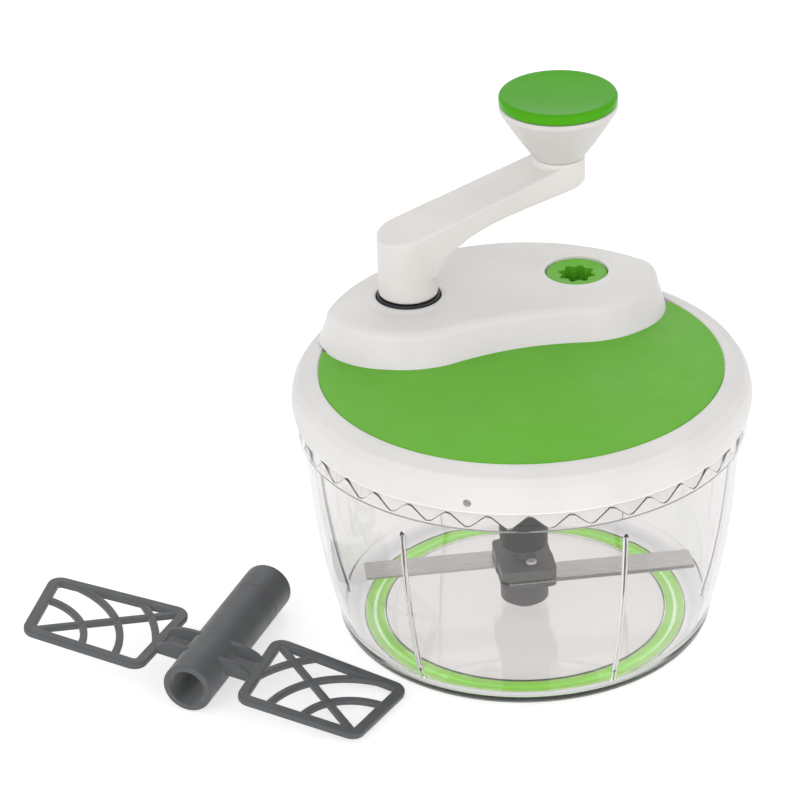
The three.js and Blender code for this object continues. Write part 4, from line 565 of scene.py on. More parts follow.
def lathe(name, profile, steps=LATHE_STEPS, centre=(0, 0), wave=None):
    """A closed solid of revolution about a vertical axis. The profile holds (radius, height) points,
    from axis to axis or round a ring, inside on the left. A height may be a pair that the wave mixes."""
    vertices = []
    rows = []
    for radius, height in profile:
        if radius < ON_AXIS:
            rows.append([len(vertices)] * steps)
            vertices.append((centre[0], centre[1], height))
            continue
        rows.append([len(vertices) + i for i in range(steps)])
        for i in range(steps):
            turn = FULL_TURN * i / steps
            place = polar(radius, turn, centre)
            level = height
            if isinstance(height, tuple):
                level = height[0] + (height[1] - height[0]) * wave(turn)
            vertices.append((place.x, place.y, level))
    around = len(profile) if profile[0][0] > ON_AXIS else len(profile) - 1
    faces = []
    for row in range(around):
        low, high = rows[row], rows[(row + 1) % len(rows)]
        for i in range(steps):
            j = (i + 1) % steps
            corners = [low[i], low[j], high[j], high[i]]
            face = [v for k, v in enumerate(corners) if v != corners[k - 1]]
            if len(face) > 2:
                faces.append(face)
    return new_object(name, vertices, faces)


def skin(name, rings, closed=False):
    """A solid over rings of equal length, closed on itself or with a face at each end."""
    length = len(rings[0])
    vertices = [tuple(point) for ring in rings for point in ring]
    faces = []
    for row in range(len(rings) if closed else len(rings) - 1):
        low, high = row * length, ((row + 1) % len(rings)) * length
        for i in range(length):
            j = (i + 1) % length
            faces.append((low + i, low + j, high + j, high + i))
    if not closed:
        faces.append(tuple(reversed(range(length))))
        faces.append(tuple(range(len(vertices) - length, len(vertices))))
    return new_object(name, vertices, faces)


def at_height(outline, height):
    """A flat outline as a ring at a height."""
    return [Vector((point[0], point[1], height)) for point in outline]


def prism(name, outline, bottom, top):
    """An upright prism over an outline that runs anticlockwise."""
    return skin(name, [at_height(outline, bottom), at_height(outline, top)])


def cylinder(name, radius, bottom, top, centre=(0, 0), steps=HOLE_STEPS):
    """A tool for holes and unions."""
    return prism(name, circle(radius, steps, centre), bottom, top)


BAR_CORNER_STEPS = 4


def sweep(name, path, width, height, edge, closed=False):
    """A bar of rounded rectangular section along a flat path."""
    section = rounded(
        rectangle(-width / 2, width / 2, -height / 2, height / 2, edge), steps=BAR_CORNER_STEPS
    )
    last = len(path) - 1
    rings = []
    for i, point in enumerate(path):
        before = path[i - 1] if closed or i else point
        after = path[(i + 1) % len(path)] if closed or i < last else point
        along = (after - before).normalized()
        across = Vector((along.y, -along.x))
        rings.append([
            Vector((point.x + across.x * x, point.y + across.y * x, z)) for x, z in section
        ])
    return skin(name, rings, closed)


def place(made, matrix):
    """Moves an object's mesh by a matrix."""
    made.data.transform(matrix)
    return made


def take_mesh(made):
    """Applies an object's modifiers to its mesh."""
    depsgraph = bpy.context.evaluated_depsgraph_get()
    mesh = bpy.data.meshes.new_from_object(made.evaluated_get(depsgraph))
    old = made.data
    made.modifiers.clear()
    made.data = mesh
    bpy.data.meshes.remove(old)
    return made


def combine(base, tools, operation):
    """The base with solids joined to it or cut from it. The tools are removed."""
    for tool in tools:
        change = base.modifiers.new("combine", "BOOLEAN")
        change.operation = operation
        change.solver = "EXACT"
        change.object = tool
    take_mesh(base)
    for tool in tools:
        mesh = tool.data
        bpy.data.objects.remove(tool)
        bpy.data.meshes.remove(mesh)
    return base


def gather(name, parts):
    """One object that holds the meshes of all parts."""
    vertices, faces = [], []
    for part in parts:
        start = len(vertices)
        vertices.extend(tuple(vertex.co) for vertex in part.data.vertices)
        faces.extend(tuple(start + i for i in face.vertices) for face in part.data.polygons)
    for part in parts:
        mesh = part.data
        bpy.data.objects.remove(part)
        bpy.data.meshes.remove(mesh)
    return new_object(name, vertices, faces)


def round_edges(made, width, segments):
    """Adds a bevel along an object's sharp edges."""
    bevel = made.modifiers.new("edges", "BEVEL")
    bevel.width = width
    bevel.segments = segments
    bevel.limit_method = "ANGLE"
    bevel.angle_limit = SHARP_ANGLE


def soften(made, width, segments=EDGE_STEPS):
    """Rounds an object's sharp edges for good."""
    round_edges(made, width, segments)
    return take_mesh(made)


def mirrored(made):
    """Mirrors a piece across the plane of Y and Z."""
    place(made, Matrix.Scale(-1, 4, (1, 0, 0)))
    made.data.flip_normals()
    return made


def hexagon_tool(sizes, top):
    """A tool for the hexagon socket in the end of a tube."""
    outline = circle(sizes.socket_radius, HEXAGON_SIDES)
    return prism("hexagon", outline, top - sizes.socket_depth, top + OVERRUN)


def finish_piece(made, body, slot, material, *nodes, sharp=SHARP_ANGLE):
    """Gives a piece its shading and material, puts it under its body and hides the CAD nodes that it stands
    for. The slot is not used.
    """
    made.data.shade_smooth()
    made.data.set_sharp_from_angle(angle=sharp)
    normals = made.modifiers.new("normals", "WEIGHTED_NORMAL")
    normals.keep_sharp = True
    made.data.materials.clear()
    made.data.materials.append(material)
    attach(made, body)
    if nodes:
        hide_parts(*nodes)
    return made


# Materials

NOISE_SHARES = (0.3, 0.7)
PLASTIC_IOR = 1.5
MOTTLE_SCALE = 35.0
MOTTLE_SHARES = (0.97, 1.03)
SHEEN_SCALE = 120.0
SHEEN_SHARES = (0.85, 1.2)
SKIN_SCALE = 900.0
SKIN_STRENGTH = 0.25
FINE_BUMP = 0.02 * MM
# Painted light: strength and height step of the emission glow painted on the white skirt under the ring.
SKIRT_PAINTED_GLOW = 0.42
SKIRT_PAINTED_GLOW_STEP = 0.2 * MM
CLEAR_IOR = 1.49
FLOW_SCALE = 22.0
FLOW_SHARE = 0.985
HAZE_SCALE = 60.0
HAZE_ROUGHNESS = 0.03
RIPPLE_SCALE = 18.0
RIPPLE_DETAIL = 1.0
RIPPLE_STRENGTH = 0.12
RIPPLE_BUMP = 0.6 * MM
DEPTH_COLOUR = (0.70, 0.69, 0.70, 1)
DEPTH_DENSITY = 34.0
# Painted shade: where the heel's darkening starts and ends, as shares of the heel's rounding.
PAINTED_HEEL_SHADE_SHARES = (0.3, 0.62)
BRUSH_SCALE = 40.0
BRUSH_DETAIL = 4.0
BRUSH_SHARES = (0.9, 1.06)
BRUSH_SHEEN_SHARES = (0.75, 1.3)
BRUSH_STRENGTH = 0.2

SATIN = {"roughness": 0.45}
SMOOTH = {"roughness": 0.4}
NYLON = {"roughness": 0.5}
COVER_FINISH = {"roughness": 0.42, "gloss": 0.25}
CAP_FINISH = {"roughness": 0.14, "gloss": 0.08}
# Painted light: the foot bands glow in their own green, standing in for light that does not reach them
# under the bowl.
RUBBER_PAINTED_GLOW_FINISH = {"roughness": 0.6, "grain": 1400.0, "gloss": 0.3, "glow": 0.3}
DARK_FINISH = {"roughness": 0.4, "gloss": 0.35}
# The socket ring, with no bowl wall in front, takes the dark plastic lighter, nearer its own tone.
DARK_RING_SHARE = 2.6
BRIGHT_STEEL = {"stretch": 20.0, "roughness": 0.25}
SCREW_STEEL = {"stretch": 20.0, "roughness": 0.35, "metal": 0.6}
SCREW_SHARE = 1.6


def new_material(name):
    """A material with an empty tree, its shader and a place to take texture coordinates from."""
    made = bpy.data.materials.new(name)
    made.use_nodes = True
    tree = made.node_tree
    tree.nodes.clear()
    output = tree.nodes.new("ShaderNodeOutputMaterial")
    shader = tree.nodes.new("ShaderNodeBsdfPrincipled")
    tree.links.new(shader.outputs["BSDF"], output.inputs["Surface"])
    coordinates = tree.nodes.new("ShaderNodeTexCoord")
    return made, tree, shader, coordinates.outputs["Object"]


def noise(tree, coordinates, scale, detail=3.0):
    """A noise texture's value."""
    texture = tree.nodes.new("ShaderNodeTexNoise")
    texture.inputs["Scale"].default_value = scale
    texture.inputs["Detail"].default_value = detail
    tree.links.new(coordinates, texture.inputs["Vector"])
    return texture.outputs["Fac"]


def spread(tree, value, low, high):
    """A noise value, most of which lies in the middle, spread over a range."""
    mapping = tree.nodes.new("ShaderNodeMapRange")
    mapping.inputs["From Min"].default_value, mapping.inputs["From Max"].default_value = NOISE_SHARES
    mapping.inputs["To Min"].default_value = low
    mapping.inputs["To Max"].default_value = high
    tree.links.new(value, mapping.inputs["Value"])
    return mapping.outputs["Result"]


def mixed(tree, factor, first, second):
    """A colour between two colours, of which the first may come from another node."""
    mix = tree.nodes.new("ShaderNodeMix")
    mix.data_type = "RGBA"
    if isinstance(first, bpy.types.NodeSocket):
        tree.links.new(first, mix.inputs["A"])
    else:
        mix.inputs["A"].default_value = (*first, 1)
    mix.inputs["B"].default_value = (*second, 1)
    tree.links.new(factor, mix.inputs["Factor"])
    return mix.outputs["Result"]


def tinted(tree, shader, value, first, second):
    """A base colour that a noise value moves between two colours."""
    tint = mixed(tree, spread(tree, value, 0, 1), first, second)
    tree.links.new(tint, shader.inputs["Base Color"])


def roughened(tree, shader, value, low, high):
    """A roughness that a noise value moves over a range."""
    tree.links.new(spread(tree, value, low, high), shader.inputs["Roughness"])


def bumped(tree, shader, height, strength, distance):
    """Bump from a height on the shader's normal."""
    bump = tree.nodes.new("ShaderNodeBump")
    bump.inputs["Strength"].default_value = strength
    bump.inputs["Distance"].default_value = distance
    tree.links.new(height, bump.inputs["Height"])
    tree.links.new(bump.outputs["Normal"], shader.inputs["Normal"])


def stepped(tree, value, start, end):
    """0 at one value and 1 at another, with a smooth step between them."""
    step = tree.nodes.new("ShaderNodeMapRange")
    step.interpolation_type = "SMOOTHSTEP"
    step.inputs["From Min"].default_value = start
    step.inputs["From Max"].default_value = end
    tree.links.new(value, step.inputs["Value"])
    return step.outputs["Result"]


def height_and_radius(tree, coordinates):
    """Height of a point over the floor and its distance from the bowl's axis."""
    parts = tree.nodes.new("ShaderNodeSeparateXYZ")
    tree.links.new(coordinates, parts.inputs["Vector"])
    level = tree.nodes.new("ShaderNodeVectorMath")
    level.operation = "MULTIPLY"
    level.inputs[1].default_value = (1, 1, 0)
    tree.links.new(coordinates, level.inputs[0])
    reach = tree.nodes.new("ShaderNodeVectorMath")
    reach.operation = "LENGTH"
    tree.links.new(level.outputs["Vector"], reach.inputs[0])
    return parts.outputs["Z"], reach.outputs["Value"]


def product(tree, first, second):
    """Product of two values, of which the second may be a number."""
    times = tree.nodes.new("ShaderNodeMath")
    times.operation = "MULTIPLY"
    tree.links.new(first, times.inputs[0])
    if isinstance(second, float):
        times.inputs[1].default_value = second
    else:
        tree.links.new(second, times.inputs[1])
    return times.outputs["Value"]


def scaled(base, factor):
    """A colour made lighter or darker."""
    return tuple(min(1, channel * factor) for channel in base)


def moulded(name, base, roughness, grain=SKIN_SCALE, gloss=0.5, glow=0.0, skirt=False):
    """Moulded plastic: slight mottling, uneven gloss and a fine skin, with painted light where asked: a
    glow in its own colour, and a glow on the skirt under the ring.
    """
    made, tree, shader, coordinates = new_material(name)
    shades = [scaled(base, share) for share in MOTTLE_SHARES]
    tinted(tree, shader, noise(tree, coordinates, MOTTLE_SCALE), *shades)
    sheens = [roughness * share for share in SHEEN_SHARES]
    roughened(tree, shader, noise(tree, coordinates, SHEEN_SCALE), *sheens)
    bumped(tree, shader, noise(tree, coordinates, grain), SKIN_STRENGTH, FINE_BUMP)
    shader.inputs["IOR"].default_value = PLASTIC_IOR
    shader.inputs["Specular IOR Level"].default_value = gloss
    shader.inputs["Emission Color"].default_value = (*base, 1)
    # Painted light: a glow above zero makes the plastic shine in its own colour, though it is no lamp.
    shader.inputs["Emission Strength"].default_value = glow
    # Painted light on the skirt under the ring.
    if skirt:
        tree.links.new(painted_skirt_glow(tree, coordinates), shader.inputs["Emission Strength"])
    return made


def painted_skirt_glow(tree, coordinates):
    """Painted light on the white skirt under the ring: an emission glow that stands in for the light that
    comes to it through the bowl.
    """
    height, _ = height_and_radius(tree, coordinates)
    foot = lid_heights()[0] - settings().lid.foot_lip / 2
    return product(tree, stepped(tree, height, foot + SKIRT_PAINTED_GLOW_STEP, foot - SKIRT_PAINTED_GLOW_STEP), SKIRT_PAINTED_GLOW)


def painted_heel_shade_mask(tree, coordinates):
    """Mask of the painted heel shade: 1 along the outside of the bowl's heel and 0 elsewhere."""
    sizes = settings().bowl
    height, radius = height_and_radius(tree, coordinates)
    near, far = (sizes.heel_round * share for share in PAINTED_HEEL_SHADE_SHARES)
    base_radius = sizes.heel_radius - sizes.heel_round
    low = stepped(tree, height, far, near)
    return product(tree, low, stepped(tree, radius, base_radius, base_radius + near))


def clear_plastic(name, base, heel):
    """Clear moulded plastic with slight flow lines and a painted shade that darkens its heel."""
    made, tree, shader, coordinates = new_material(name)
    cloud = spread(tree, noise(tree, coordinates, FLOW_SCALE), 0, 1)
    tint = mixed(tree, cloud, scaled(base, FLOW_SHARE), base)
    # Painted shade on the outside of the heel.
    tint = mixed(tree, painted_heel_shade_mask(tree, coordinates), tint, heel)
    tree.links.new(tint, shader.inputs["Base Color"])
    roughened(tree, shader, noise(tree, coordinates, HAZE_SCALE), 0, HAZE_ROUGHNESS)
    shader.inputs["Transmission Weight"].default_value = 1.0
    shader.inputs["IOR"].default_value = CLEAR_IOR
    ripple = noise(tree, coordinates, RIPPLE_SCALE, RIPPLE_DETAIL)
    bumped(tree, shader, ripple, RIPPLE_STRENGTH, RIPPLE_BUMP)
    depth = tree.nodes.new("ShaderNodeVolumeAbsorption")
    depth.inputs["Color"].default_value = DEPTH_COLOUR
    depth.inputs["Density"].default_value = DEPTH_DENSITY
    tree.links.new(depth.outputs["Volume"], tree.get_output_node("ALL").inputs["Volume"])
    return made


def steel(name, base, turn=0.0, stretch=90.0, roughness=0.3, metal=1.0):
    """Brushed steel with fine lines along one direction."""
    made, tree, shader, coordinates = new_material(name)
    mapping = tree.nodes.new("ShaderNodeMapping")
    mapping.inputs["Rotation"].default_value = (0, 0, -turn)
    mapping.inputs["Scale"].default_value = (1, stretch, stretch)
    tree.links.new(coordinates, mapping.inputs["Vector"])
    lines = noise(tree, mapping.outputs["Vector"], BRUSH_SCALE, BRUSH_DETAIL)
    tinted(tree, shader, lines, *[scaled(base, share) for share in BRUSH_SHARES])
    roughened(tree, shader, lines, *[roughness * share for share in BRUSH_SHEEN_SHARES])
    shader.inputs["Metallic"].default_value = metal
    bumped(tree, shader, lines, BRUSH_STRENGTH, FINE_BUMP)
    return made


_materials = {}


def material(name):
    """One of the chopper's materials by name, made when it is first asked for."""
    if name not in _materials:
        tones = settings().finish
        # Lighter copy of the dark colour for the ring; the tube's darker copy is painted shade.
        dark_ring = scaled(tones.dark, DARK_RING_SHARE)
        screw = scaled(tones.steel, SCREW_SHARE)
        makers = {
            "clear": lambda: clear_plastic("clear_bowl", tones.clear, tones.heel),
            "white": lambda: moulded("white_plastic", tones.white, **SATIN),
            # The ring's plastic carries the painted light on its skirt.
            "ring": lambda: moulded("ring_plastic_painted_skirt_glow", tones.white, **SATIN, skirt=True),
            "warm": lambda: moulded("warm_white_plastic", tones.warm, **SATIN),
            # The knob's darker white is painted shade.
            "knob": lambda: moulded("knob_plastic_painted_shade", tones.knob, **SATIN),
            "green": lambda: moulded("green_plastic", tones.green, **COVER_FINISH),
            "cap": lambda: moulded("cap_green_plastic", tones.cap, **CAP_FINISH),
            # The foot bands' plastic carries painted light.
            "rubber": lambda: moulded("foot_rubber_painted_glow", tones.rubber, **RUBBER_PAINTED_GLOW_FINISH),
            "dark": lambda: moulded("dark_plastic", tones.dark, **DARK_FINISH),
            "dark_ring": lambda: moulded("dark_ring_plastic", dark_ring, **DARK_FINISH),
            "hub": lambda: moulded("hub_plastic", tones.hub, **SMOOTH),
            "paddle": lambda: moulded("paddle_plastic", tones.paddle, **SATIN),
            "natural": lambda: moulded("gear_nylon", tones.natural, **NYLON),
            "blade": lambda: steel("blade_steel", tones.steel, settings().cutter.azimuth),
            "steel": lambda: steel("bright_steel", tones.steel, **BRIGHT_STEEL),
            "screw": lambda: steel("screw_steel", screw, **SCREW_STEEL),
        }
        _materials[name] = makers[name]()
    return _materials[name]


# Bowl

LOCK_STEPS_PER_TOOTH = 8
TIP_SHARPNESS_SHARE = 0.94
FLOOR_RINGS = 16
RIB_HEAD_SHARES = (0.02, 0.4)
RIB_NOSE_SHARES = ((0.8, 0.8), (0.25, 0.45), (0, 0), (0.25, -0.45), (0.8, -0.8))


def lock_wave(turn):
    """The lock's zigzag: 0 at a trough and 1 at a crest, with slightly blunt tips."""
    sizes = settings().bowl
    start = sizes.lock_phase - QUARTER_TURN
    swing = math.cos((turn - start) * sizes.teeth) * TIP_SHARPNESS_SHARE
    return 0.5 + math.asin(swing) / (2 * math.asin(TIP_SHARPNESS_SHARE))


def lock_levels():
    """Heights of the lock's trough and crest and of the collar and neck."""
    sizes = settings().bowl
    trough = sizes.shoulder + sizes.ledge
    crest = trough + sizes.tooth
    collar = crest + sizes.collar_above_lock
    return trough, crest, collar, collar + sizes.neck_rise


def wall_curve(inset):
    """The wall's profile from heel to shoulder, moved inwards."""
    sizes = settings().bowl
    taper = sizes.top_radius - sizes.heel_radius
    low = (sizes.heel_radius - inset, sizes.heel_round)
    rise = (sizes.shoulder - sizes.heel_round) * sizes.bulge_height
    pull = (sizes.heel_radius + taper * sizes.bulge_radius - inset, sizes.heel_round + rise)
    return bend(low, pull, (sizes.top_radius - inset, sizes.shoulder))


def bowl_outside():
    """The bowl's profile from the middle of its underside to the top of its wall."""
    sizes = settings().bowl
    edge = sizes.edge
    heel_start = sizes.heel_radius - sizes.heel_round
    foot = open_outline([
        (0, 0, 0),
        (sizes.groove_inner, 0, edge),
        (sizes.groove_inner, sizes.groove_depth, edge / 2),
        (sizes.groove_outer, sizes.groove_depth, edge / 2),
        (sizes.groove_outer, 0, edge),
        (heel_start, 0, 0),
    ])
    heel = bend((heel_start, 0), (sizes.heel_radius, 0), (sizes.heel_radius, sizes.heel_round))
    return [*pairs(foot), *pairs(heel[1:]), *pairs(wall_curve(0)[1:-1])]


def bowl_lock():
    """The profile of the collar, the zigzag ledge and the neck."""
    sizes = settings().bowl
    edge = sizes.edge
    trough, crest, collar, neck = lock_levels()
    collar_low = sizes.top_radius + sizes.collar_step
    collar_top = collar_low + sizes.collar_flare
    collar_inner = collar_low - sizes.collar_wall
    neck_radius = sizes.top_radius - sizes.neck_inset
    inner_radius = sizes.top_radius - sizes.wall
    collar_part = open_outline([
        (sizes.top_radius, sizes.shoulder, 0),
        (collar_low, sizes.shoulder, edge),
        (collar_top, collar, edge),
        (collar_top - sizes.collar_wall, collar, edge),
        (collar_inner, crest, 0),
    ])
    neck_part = open_outline([
        (neck_radius, crest, 0),
        (neck_radius, neck, edge),
        (inner_radius, neck, edge),
        (inner_radius, sizes.shoulder, 0),
    ])
    return [
        *pairs(collar_part[:-1]),
        (collar_inner, (trough, crest)),
        (neck_radius, (trough, crest)),
        *pairs(neck_part[1:]),
    ]


def bowl_inside():
    """The bowl's profile from the top of its wall inside to the top of its boss."""
    sizes = settings().bowl
    inner_heel = sizes.heel_radius - sizes.wall
    floor_radius = inner_heel - sizes.inner_corner
    corner = bend(
        (inner_heel, sizes.heel_round), (inner_heel, sizes.floor), (floor_radius, sizes.floor)
    )
    floor_rings = [
        (floor_radius + (sizes.boss_radius - floor_radius) * i / FLOOR_RINGS, sizes.floor)
        for i in range(1, FLOOR_RINGS)
    ]
    boss = open_outline([
        (floor_radius, sizes.floor, 0),
        (sizes.boss_radius, sizes.floor, sizes.edge),
        (sizes.boss_radius, sizes.boss_top, sizes.edge),
        (0, sizes.boss_top, 0),
    ])
    inner_wall = wall_curve(sizes.wall)
    return [*pairs(reversed(inner_wall[:-1])), *pairs(corner[1:]), *floor_rings, *pairs(boss[1:])]


def curve_radius(curve, height):
    """Radius of a wall's curve at a height."""
    for low, high in zip(curve, curve[1:]):
        if low.y <= height <= high.y:
            return low.x + (high.x - low.x) * (height - low.y) / (high.y - low.y)
    return curve[0].x


def rib(name, azimuth):
    """One rib inside the wall, tapered and rounded, as a tool to be joined to the bowl."""
    sizes = settings().bowl
    outer = wall_curve(sizes.wall / 2)
    inner = wall_curve(sizes.wall + sizes.rib_depth)
    heights = [point.y for point in outer if sizes.rib_bottom < point.y < sizes.rib_top]
    least, narrow = RIB_HEAD_SHARES
    rings = []
    for height in [sizes.rib_bottom, *heights, sizes.rib_top]:
        left = (sizes.rib_top - height) / (2 * sizes.rib_depth)
        crown = min(1, math.sqrt(max(least, left)))
        wall = curve_radius(outer, height)
        tip = wall - (wall - curve_radius(inner, height)) * crown
        half = sizes.rib_width / 2 * (narrow + (1 - narrow) * crown)
        nose = [(tip + half * back, half * aside) for back, aside in RIB_NOSE_SHARES]
        rings.append(at_height([(wall, -half), (wall, half), *nose], height))
    return place(skin(name, rings), Matrix.Rotation(azimuth, 4, "Z"))


def build_bowl():
    """The clear bowl with its lock, ribs and spindle hole."""
    sizes = settings().bowl
    profile = [*bowl_outside(), *bowl_lock(), *bowl_inside()]
    bowl = lathe("clear_bowl", profile, sizes.teeth * LOCK_STEPS_PER_TOOTH, wave=lock_wave)
    ribs = []
    for i in range(2 * sizes.rib_pairs):
        pair = FULL_TURN * (i // 2) / sizes.rib_pairs
        side = (i % 2) - 0.5
        azimuth = sizes.rib_azimuth - QUARTER_TURN + pair + side * sizes.rib_spread
        ribs.append(rib(f"rib_{i}", azimuth))
    combine(bowl, ribs, "UNION")
    hole = cylinder("hole", sizes.spindle_bore, sizes.spindle_floor, sizes.boss_top + OVERRUN)
    combine(bowl, [hole], "DIFFERENCE")
    finish_piece(bowl, "base", "clear_plastic", material("clear"), "bowl")
    bowl.visible_shadow = False


def green_band(name, outer):
    """One band, that stands for its own node."""
    sizes = settings().foot
    section = rectangle(outer - sizes.band, outer, 0, sizes.thickness, sizes.edge)
    band = lathe(f"green_{name}", pairs(rounded(section)))
    finish_piece(band, "base", "green_rubber", material("rubber"), name)


def build_foot():
    """The two green bands under the bowl."""
    sizes = settings().foot
    green_band("foot_ring_outer", sizes.outer)
    green_band("foot_ring_inner", sizes.outer - sizes.band - sizes.gap)


# Cutter

SCREW_STEPS = 48
SCREW_HOLE_STEPS = 24
CLAMP_EDGE_STEPS = 4
BLADE_SHARP_ANGLE = math.radians(15)
POINT_SHARE = 0.5
RIM_SHARE = 0.15
DOME_SHARES = (0.93, 0.62, 0.5)
RECESS_TURN = math.radians(20)
RECESS_REACH_SHARE = 0.55
RECESS_FLOOR_SHARE = 0.3


def on_cutter(made, turn=0.0):
    """Turns a piece that was built along X to the blades' azimuth."""
    return place(made, Matrix.Rotation(settings().cutter.azimuth + turn, 4, "Z"))


def both_lobes(bottom, top):
    """Two opposite lobes as one solid."""
    sizes = settings().cutter
    corners = []
    for side in (1, -1):
        corners.extend([
            (-sizes.lobe_short * side, 0, 0),
            (-sizes.lobe_short * side, -sizes.lobe_reach * side, sizes.lobe_corner),
            (sizes.lobe_long * side, -sizes.lobe_reach * side, sizes.lobe_corner),
            (sizes.lobe_long * side, 0, 0),
        ])
    return prism("lobes", rounded(corners), bottom, top)


def screw_places():
    """The two screws' places in the cutter's own frame."""
    sizes = settings().cutter
    return [
        (sizes.screw_along, -sizes.blade_offset),
        (-sizes.screw_along, sizes.blade_offset),
    ]


def screw_tools(bottom, top, places):
    """Tools for screw holes."""
    sizes = settings().cutter
    radius = sizes.screw_shank + sizes.clearance
    return [cylinder("hole", radius, bottom, top, spot, SCREW_HOLE_STEPS) for spot in places]


def build_hub():
    """The grey hub under the blades and the post that carries the tube."""
    sizes = settings().cutter
    hub = cylinder("cutter_hub", sizes.hub_radius, sizes.hub_bottom, sizes.seat, steps=ROUND_STEPS)
    combine(hub, [both_lobes(sizes.seat - sizes.plate, sizes.seat)], "UNION")
    post = cylinder("post", sizes.post_radius, sizes.seat - OVERRUN, sizes.post_top)
    combine(hub, [post], "UNION")
    soften(hub, sizes.edge)
    bore = cylinder("bore", sizes.bore, sizes.hub_bottom - OVERRUN, sizes.bore_top)
    low = sizes.clamp_top - sizes.screw_length - OVERRUN
    holes = screw_tools(low, sizes.seat + OVERRUN, screw_places())
    combine(hub, [bore, *holes], "DIFFERENCE")
    on_cutter(hub)
    finish_piece(hub, "cutter", "grey_plastic", material("hub"), "blade_hub")


def build_clamp():
    """The grey block that is screwed down over the blades."""
    sizes = settings().cutter
    clamp = both_lobes(sizes.clamp_bottom, sizes.clamp_top)
    clamp.name = "cutter_clamp"
    soften(clamp, sizes.edge, CLAMP_EDGE_STEPS)
    post = cylinder("post", sizes.post_radius + sizes.clearance, 0, sizes.tube_top)
    combine(clamp, [post, *screw_tools(0, sizes.tube_top, screw_places())], "DIFFERENCE")
    finish_piece(on_cutter(clamp), "cutter", "grey_plastic", material("hub"), "blade_clamp")


def blade(name, tip):
    """A steel strip with a ground leading edge and a rounded tip."""
    sizes = settings().cutter
    inner = -sizes.blade_offset + sizes.blade_width / 2
    outer = -sizes.blade_offset - sizes.blade_width / 2
    bottom = sizes.seat + sizes.clearance

    def plan(edge, height):
        outline = rounded([
            (-sizes.blade_root, outer + edge, 0),
            (tip, outer + edge, sizes.tip_corner),
            (tip, inner, sizes.tip_corner),
            (-sizes.blade_root, inner, 0),
        ])
        return at_height(outline, height)

    strip = skin(name, [
        plan(0, bottom),
        plan(0, bottom + sizes.bevel_foot),
        plan(sizes.bevel, bottom + sizes.blade_thickness),
    ])
    post = cylinder("post", sizes.post_radius + sizes.clearance, 0, sizes.tube_top)
    holes = screw_tools(0, sizes.tube_top, screw_places()[:1])
    return combine(strip, [post, *holes], "DIFFERENCE")


def build_blades():
    """The two steel strips."""
    sizes = settings().cutter
    for name, tip, turn in (
        ("blade_front", sizes.front_tip, 0.0),
        ("blade_rear", sizes.rear_tip, math.pi),
    ):
        strip = on_cutter(blade(f"steel_{name}", tip), turn)
        strip.visible_glossy = False
        finish_piece(
            strip, "cutter", "blade_steel", material("blade"), name, sharp=BLADE_SHARP_ANGLE
        )


def cross_screw(name):
    """A pan head screw with a cross recess, upright on the clamp at the origin."""
    sizes = settings().cutter
    head, shank, rise = sizes.screw_head, sizes.screw_shank, sizes.screw_rise
    seat = sizes.clamp_top + sizes.clearance
    end = seat - sizes.screw_length
    dome, dome_height, dome_round = DOME_SHARES
    corners = [
        (0, end, 0),
        (shank * POINT_SHARE, end, 0),
        (shank, end + shank, 0),
        (shank, seat, 0),
        (head, seat, rise * RIM_SHARE),
        (head * dome, seat + rise * dome_height, rise * dome_round),
        (0, seat + rise, 0),
    ]
    screw = lathe(name, pairs(rounded(corners, closed=False)), SCREW_STEPS)
    reach, half = head * RECESS_REACH_SHARE, sizes.recess / 2
    outline = rounded(rectangle(-reach, reach, -half, half))
    slots = []
    for turn in (RECESS_TURN, RECESS_TURN + QUARTER_TURN):
        slot = prism("slot", outline, seat + rise * RECESS_FLOOR_SHARE, seat + rise + OVERRUN)
        slots.append(place(slot, Matrix.Rotation(turn, 4, "Z")))
    return combine(screw, slots, "DIFFERENCE")


def build_screws():
    """The two screws that hold the clamp."""
    for name, spot in zip(("blade_screw_front", "blade_screw_rear"), screw_places()):
        screw = place(cross_screw(f"cross_{name}"), Matrix.Translation((*spot, 0)))
        finish_piece(on_cutter(screw), "cutter", "steel", material("screw"), name)


def build_tube():
    """The dark drive tube with its hexagon socket."""
    sizes = settings().cutter
    low, high = sizes.tube_bottom, sizes.tube_top
    tube = soften(cylinder("drive_tube", sizes.tube_radius, low, high, steps=ROUND_STEPS), sizes.edge)
    bore_radius = sizes.post_radius + sizes.clearance
    bore = cylinder("bore", bore_radius, low - OVERRUN, sizes.post_top + sizes.clearance)
    combine(tube, [bore, hexagon_tool(sizes, high)], "DIFFERENCE")
    finish_piece(on_cutter(tube), "cutter", "dark_plastic", material("dark"), "blade_tube")


# Lid

BELLY_ROUND = 3 * MM
SHOULDER_ROUND = 4 * MM
CREASE_ROUND = 60 * MM
CREASE_STEPS = 16
COVER_STEPS = 32
COVER_EDGE_STEPS = 4
EDGE_SEARCH_SHARE = 0.001
LEAST_WIDTH = 1e-6 * MM


def lid_heights():
    """Heights of the ring's foot, belly, shoulder, brow and crest."""
    sizes = settings().lid
    foot = lock_levels()[2] + sizes.foot_gap
    belly_low = foot + sizes.belly_rise
    belly_high = belly_low + sizes.belly
    shoulder = belly_high + sizes.shoulder_rise
    brow = shoulder + sizes.brow_rise
    return foot, belly_low, belly_high, shoulder, brow, brow + sizes.crest_rise


def cover_radius():
    """Outer radius of the green cover."""
    return LID_RADIUS - settings().lid.insert_inset


def skirt_radii():
    """Inner and outer radius of the skirt."""
    sizes, bowl = settings().lid, settings().bowl
    inner = bowl.top_radius - bowl.neck_inset + sizes.seat
    return inner, bowl.top_radius + bowl.collar_step - bowl.collar_wall - sizes.run


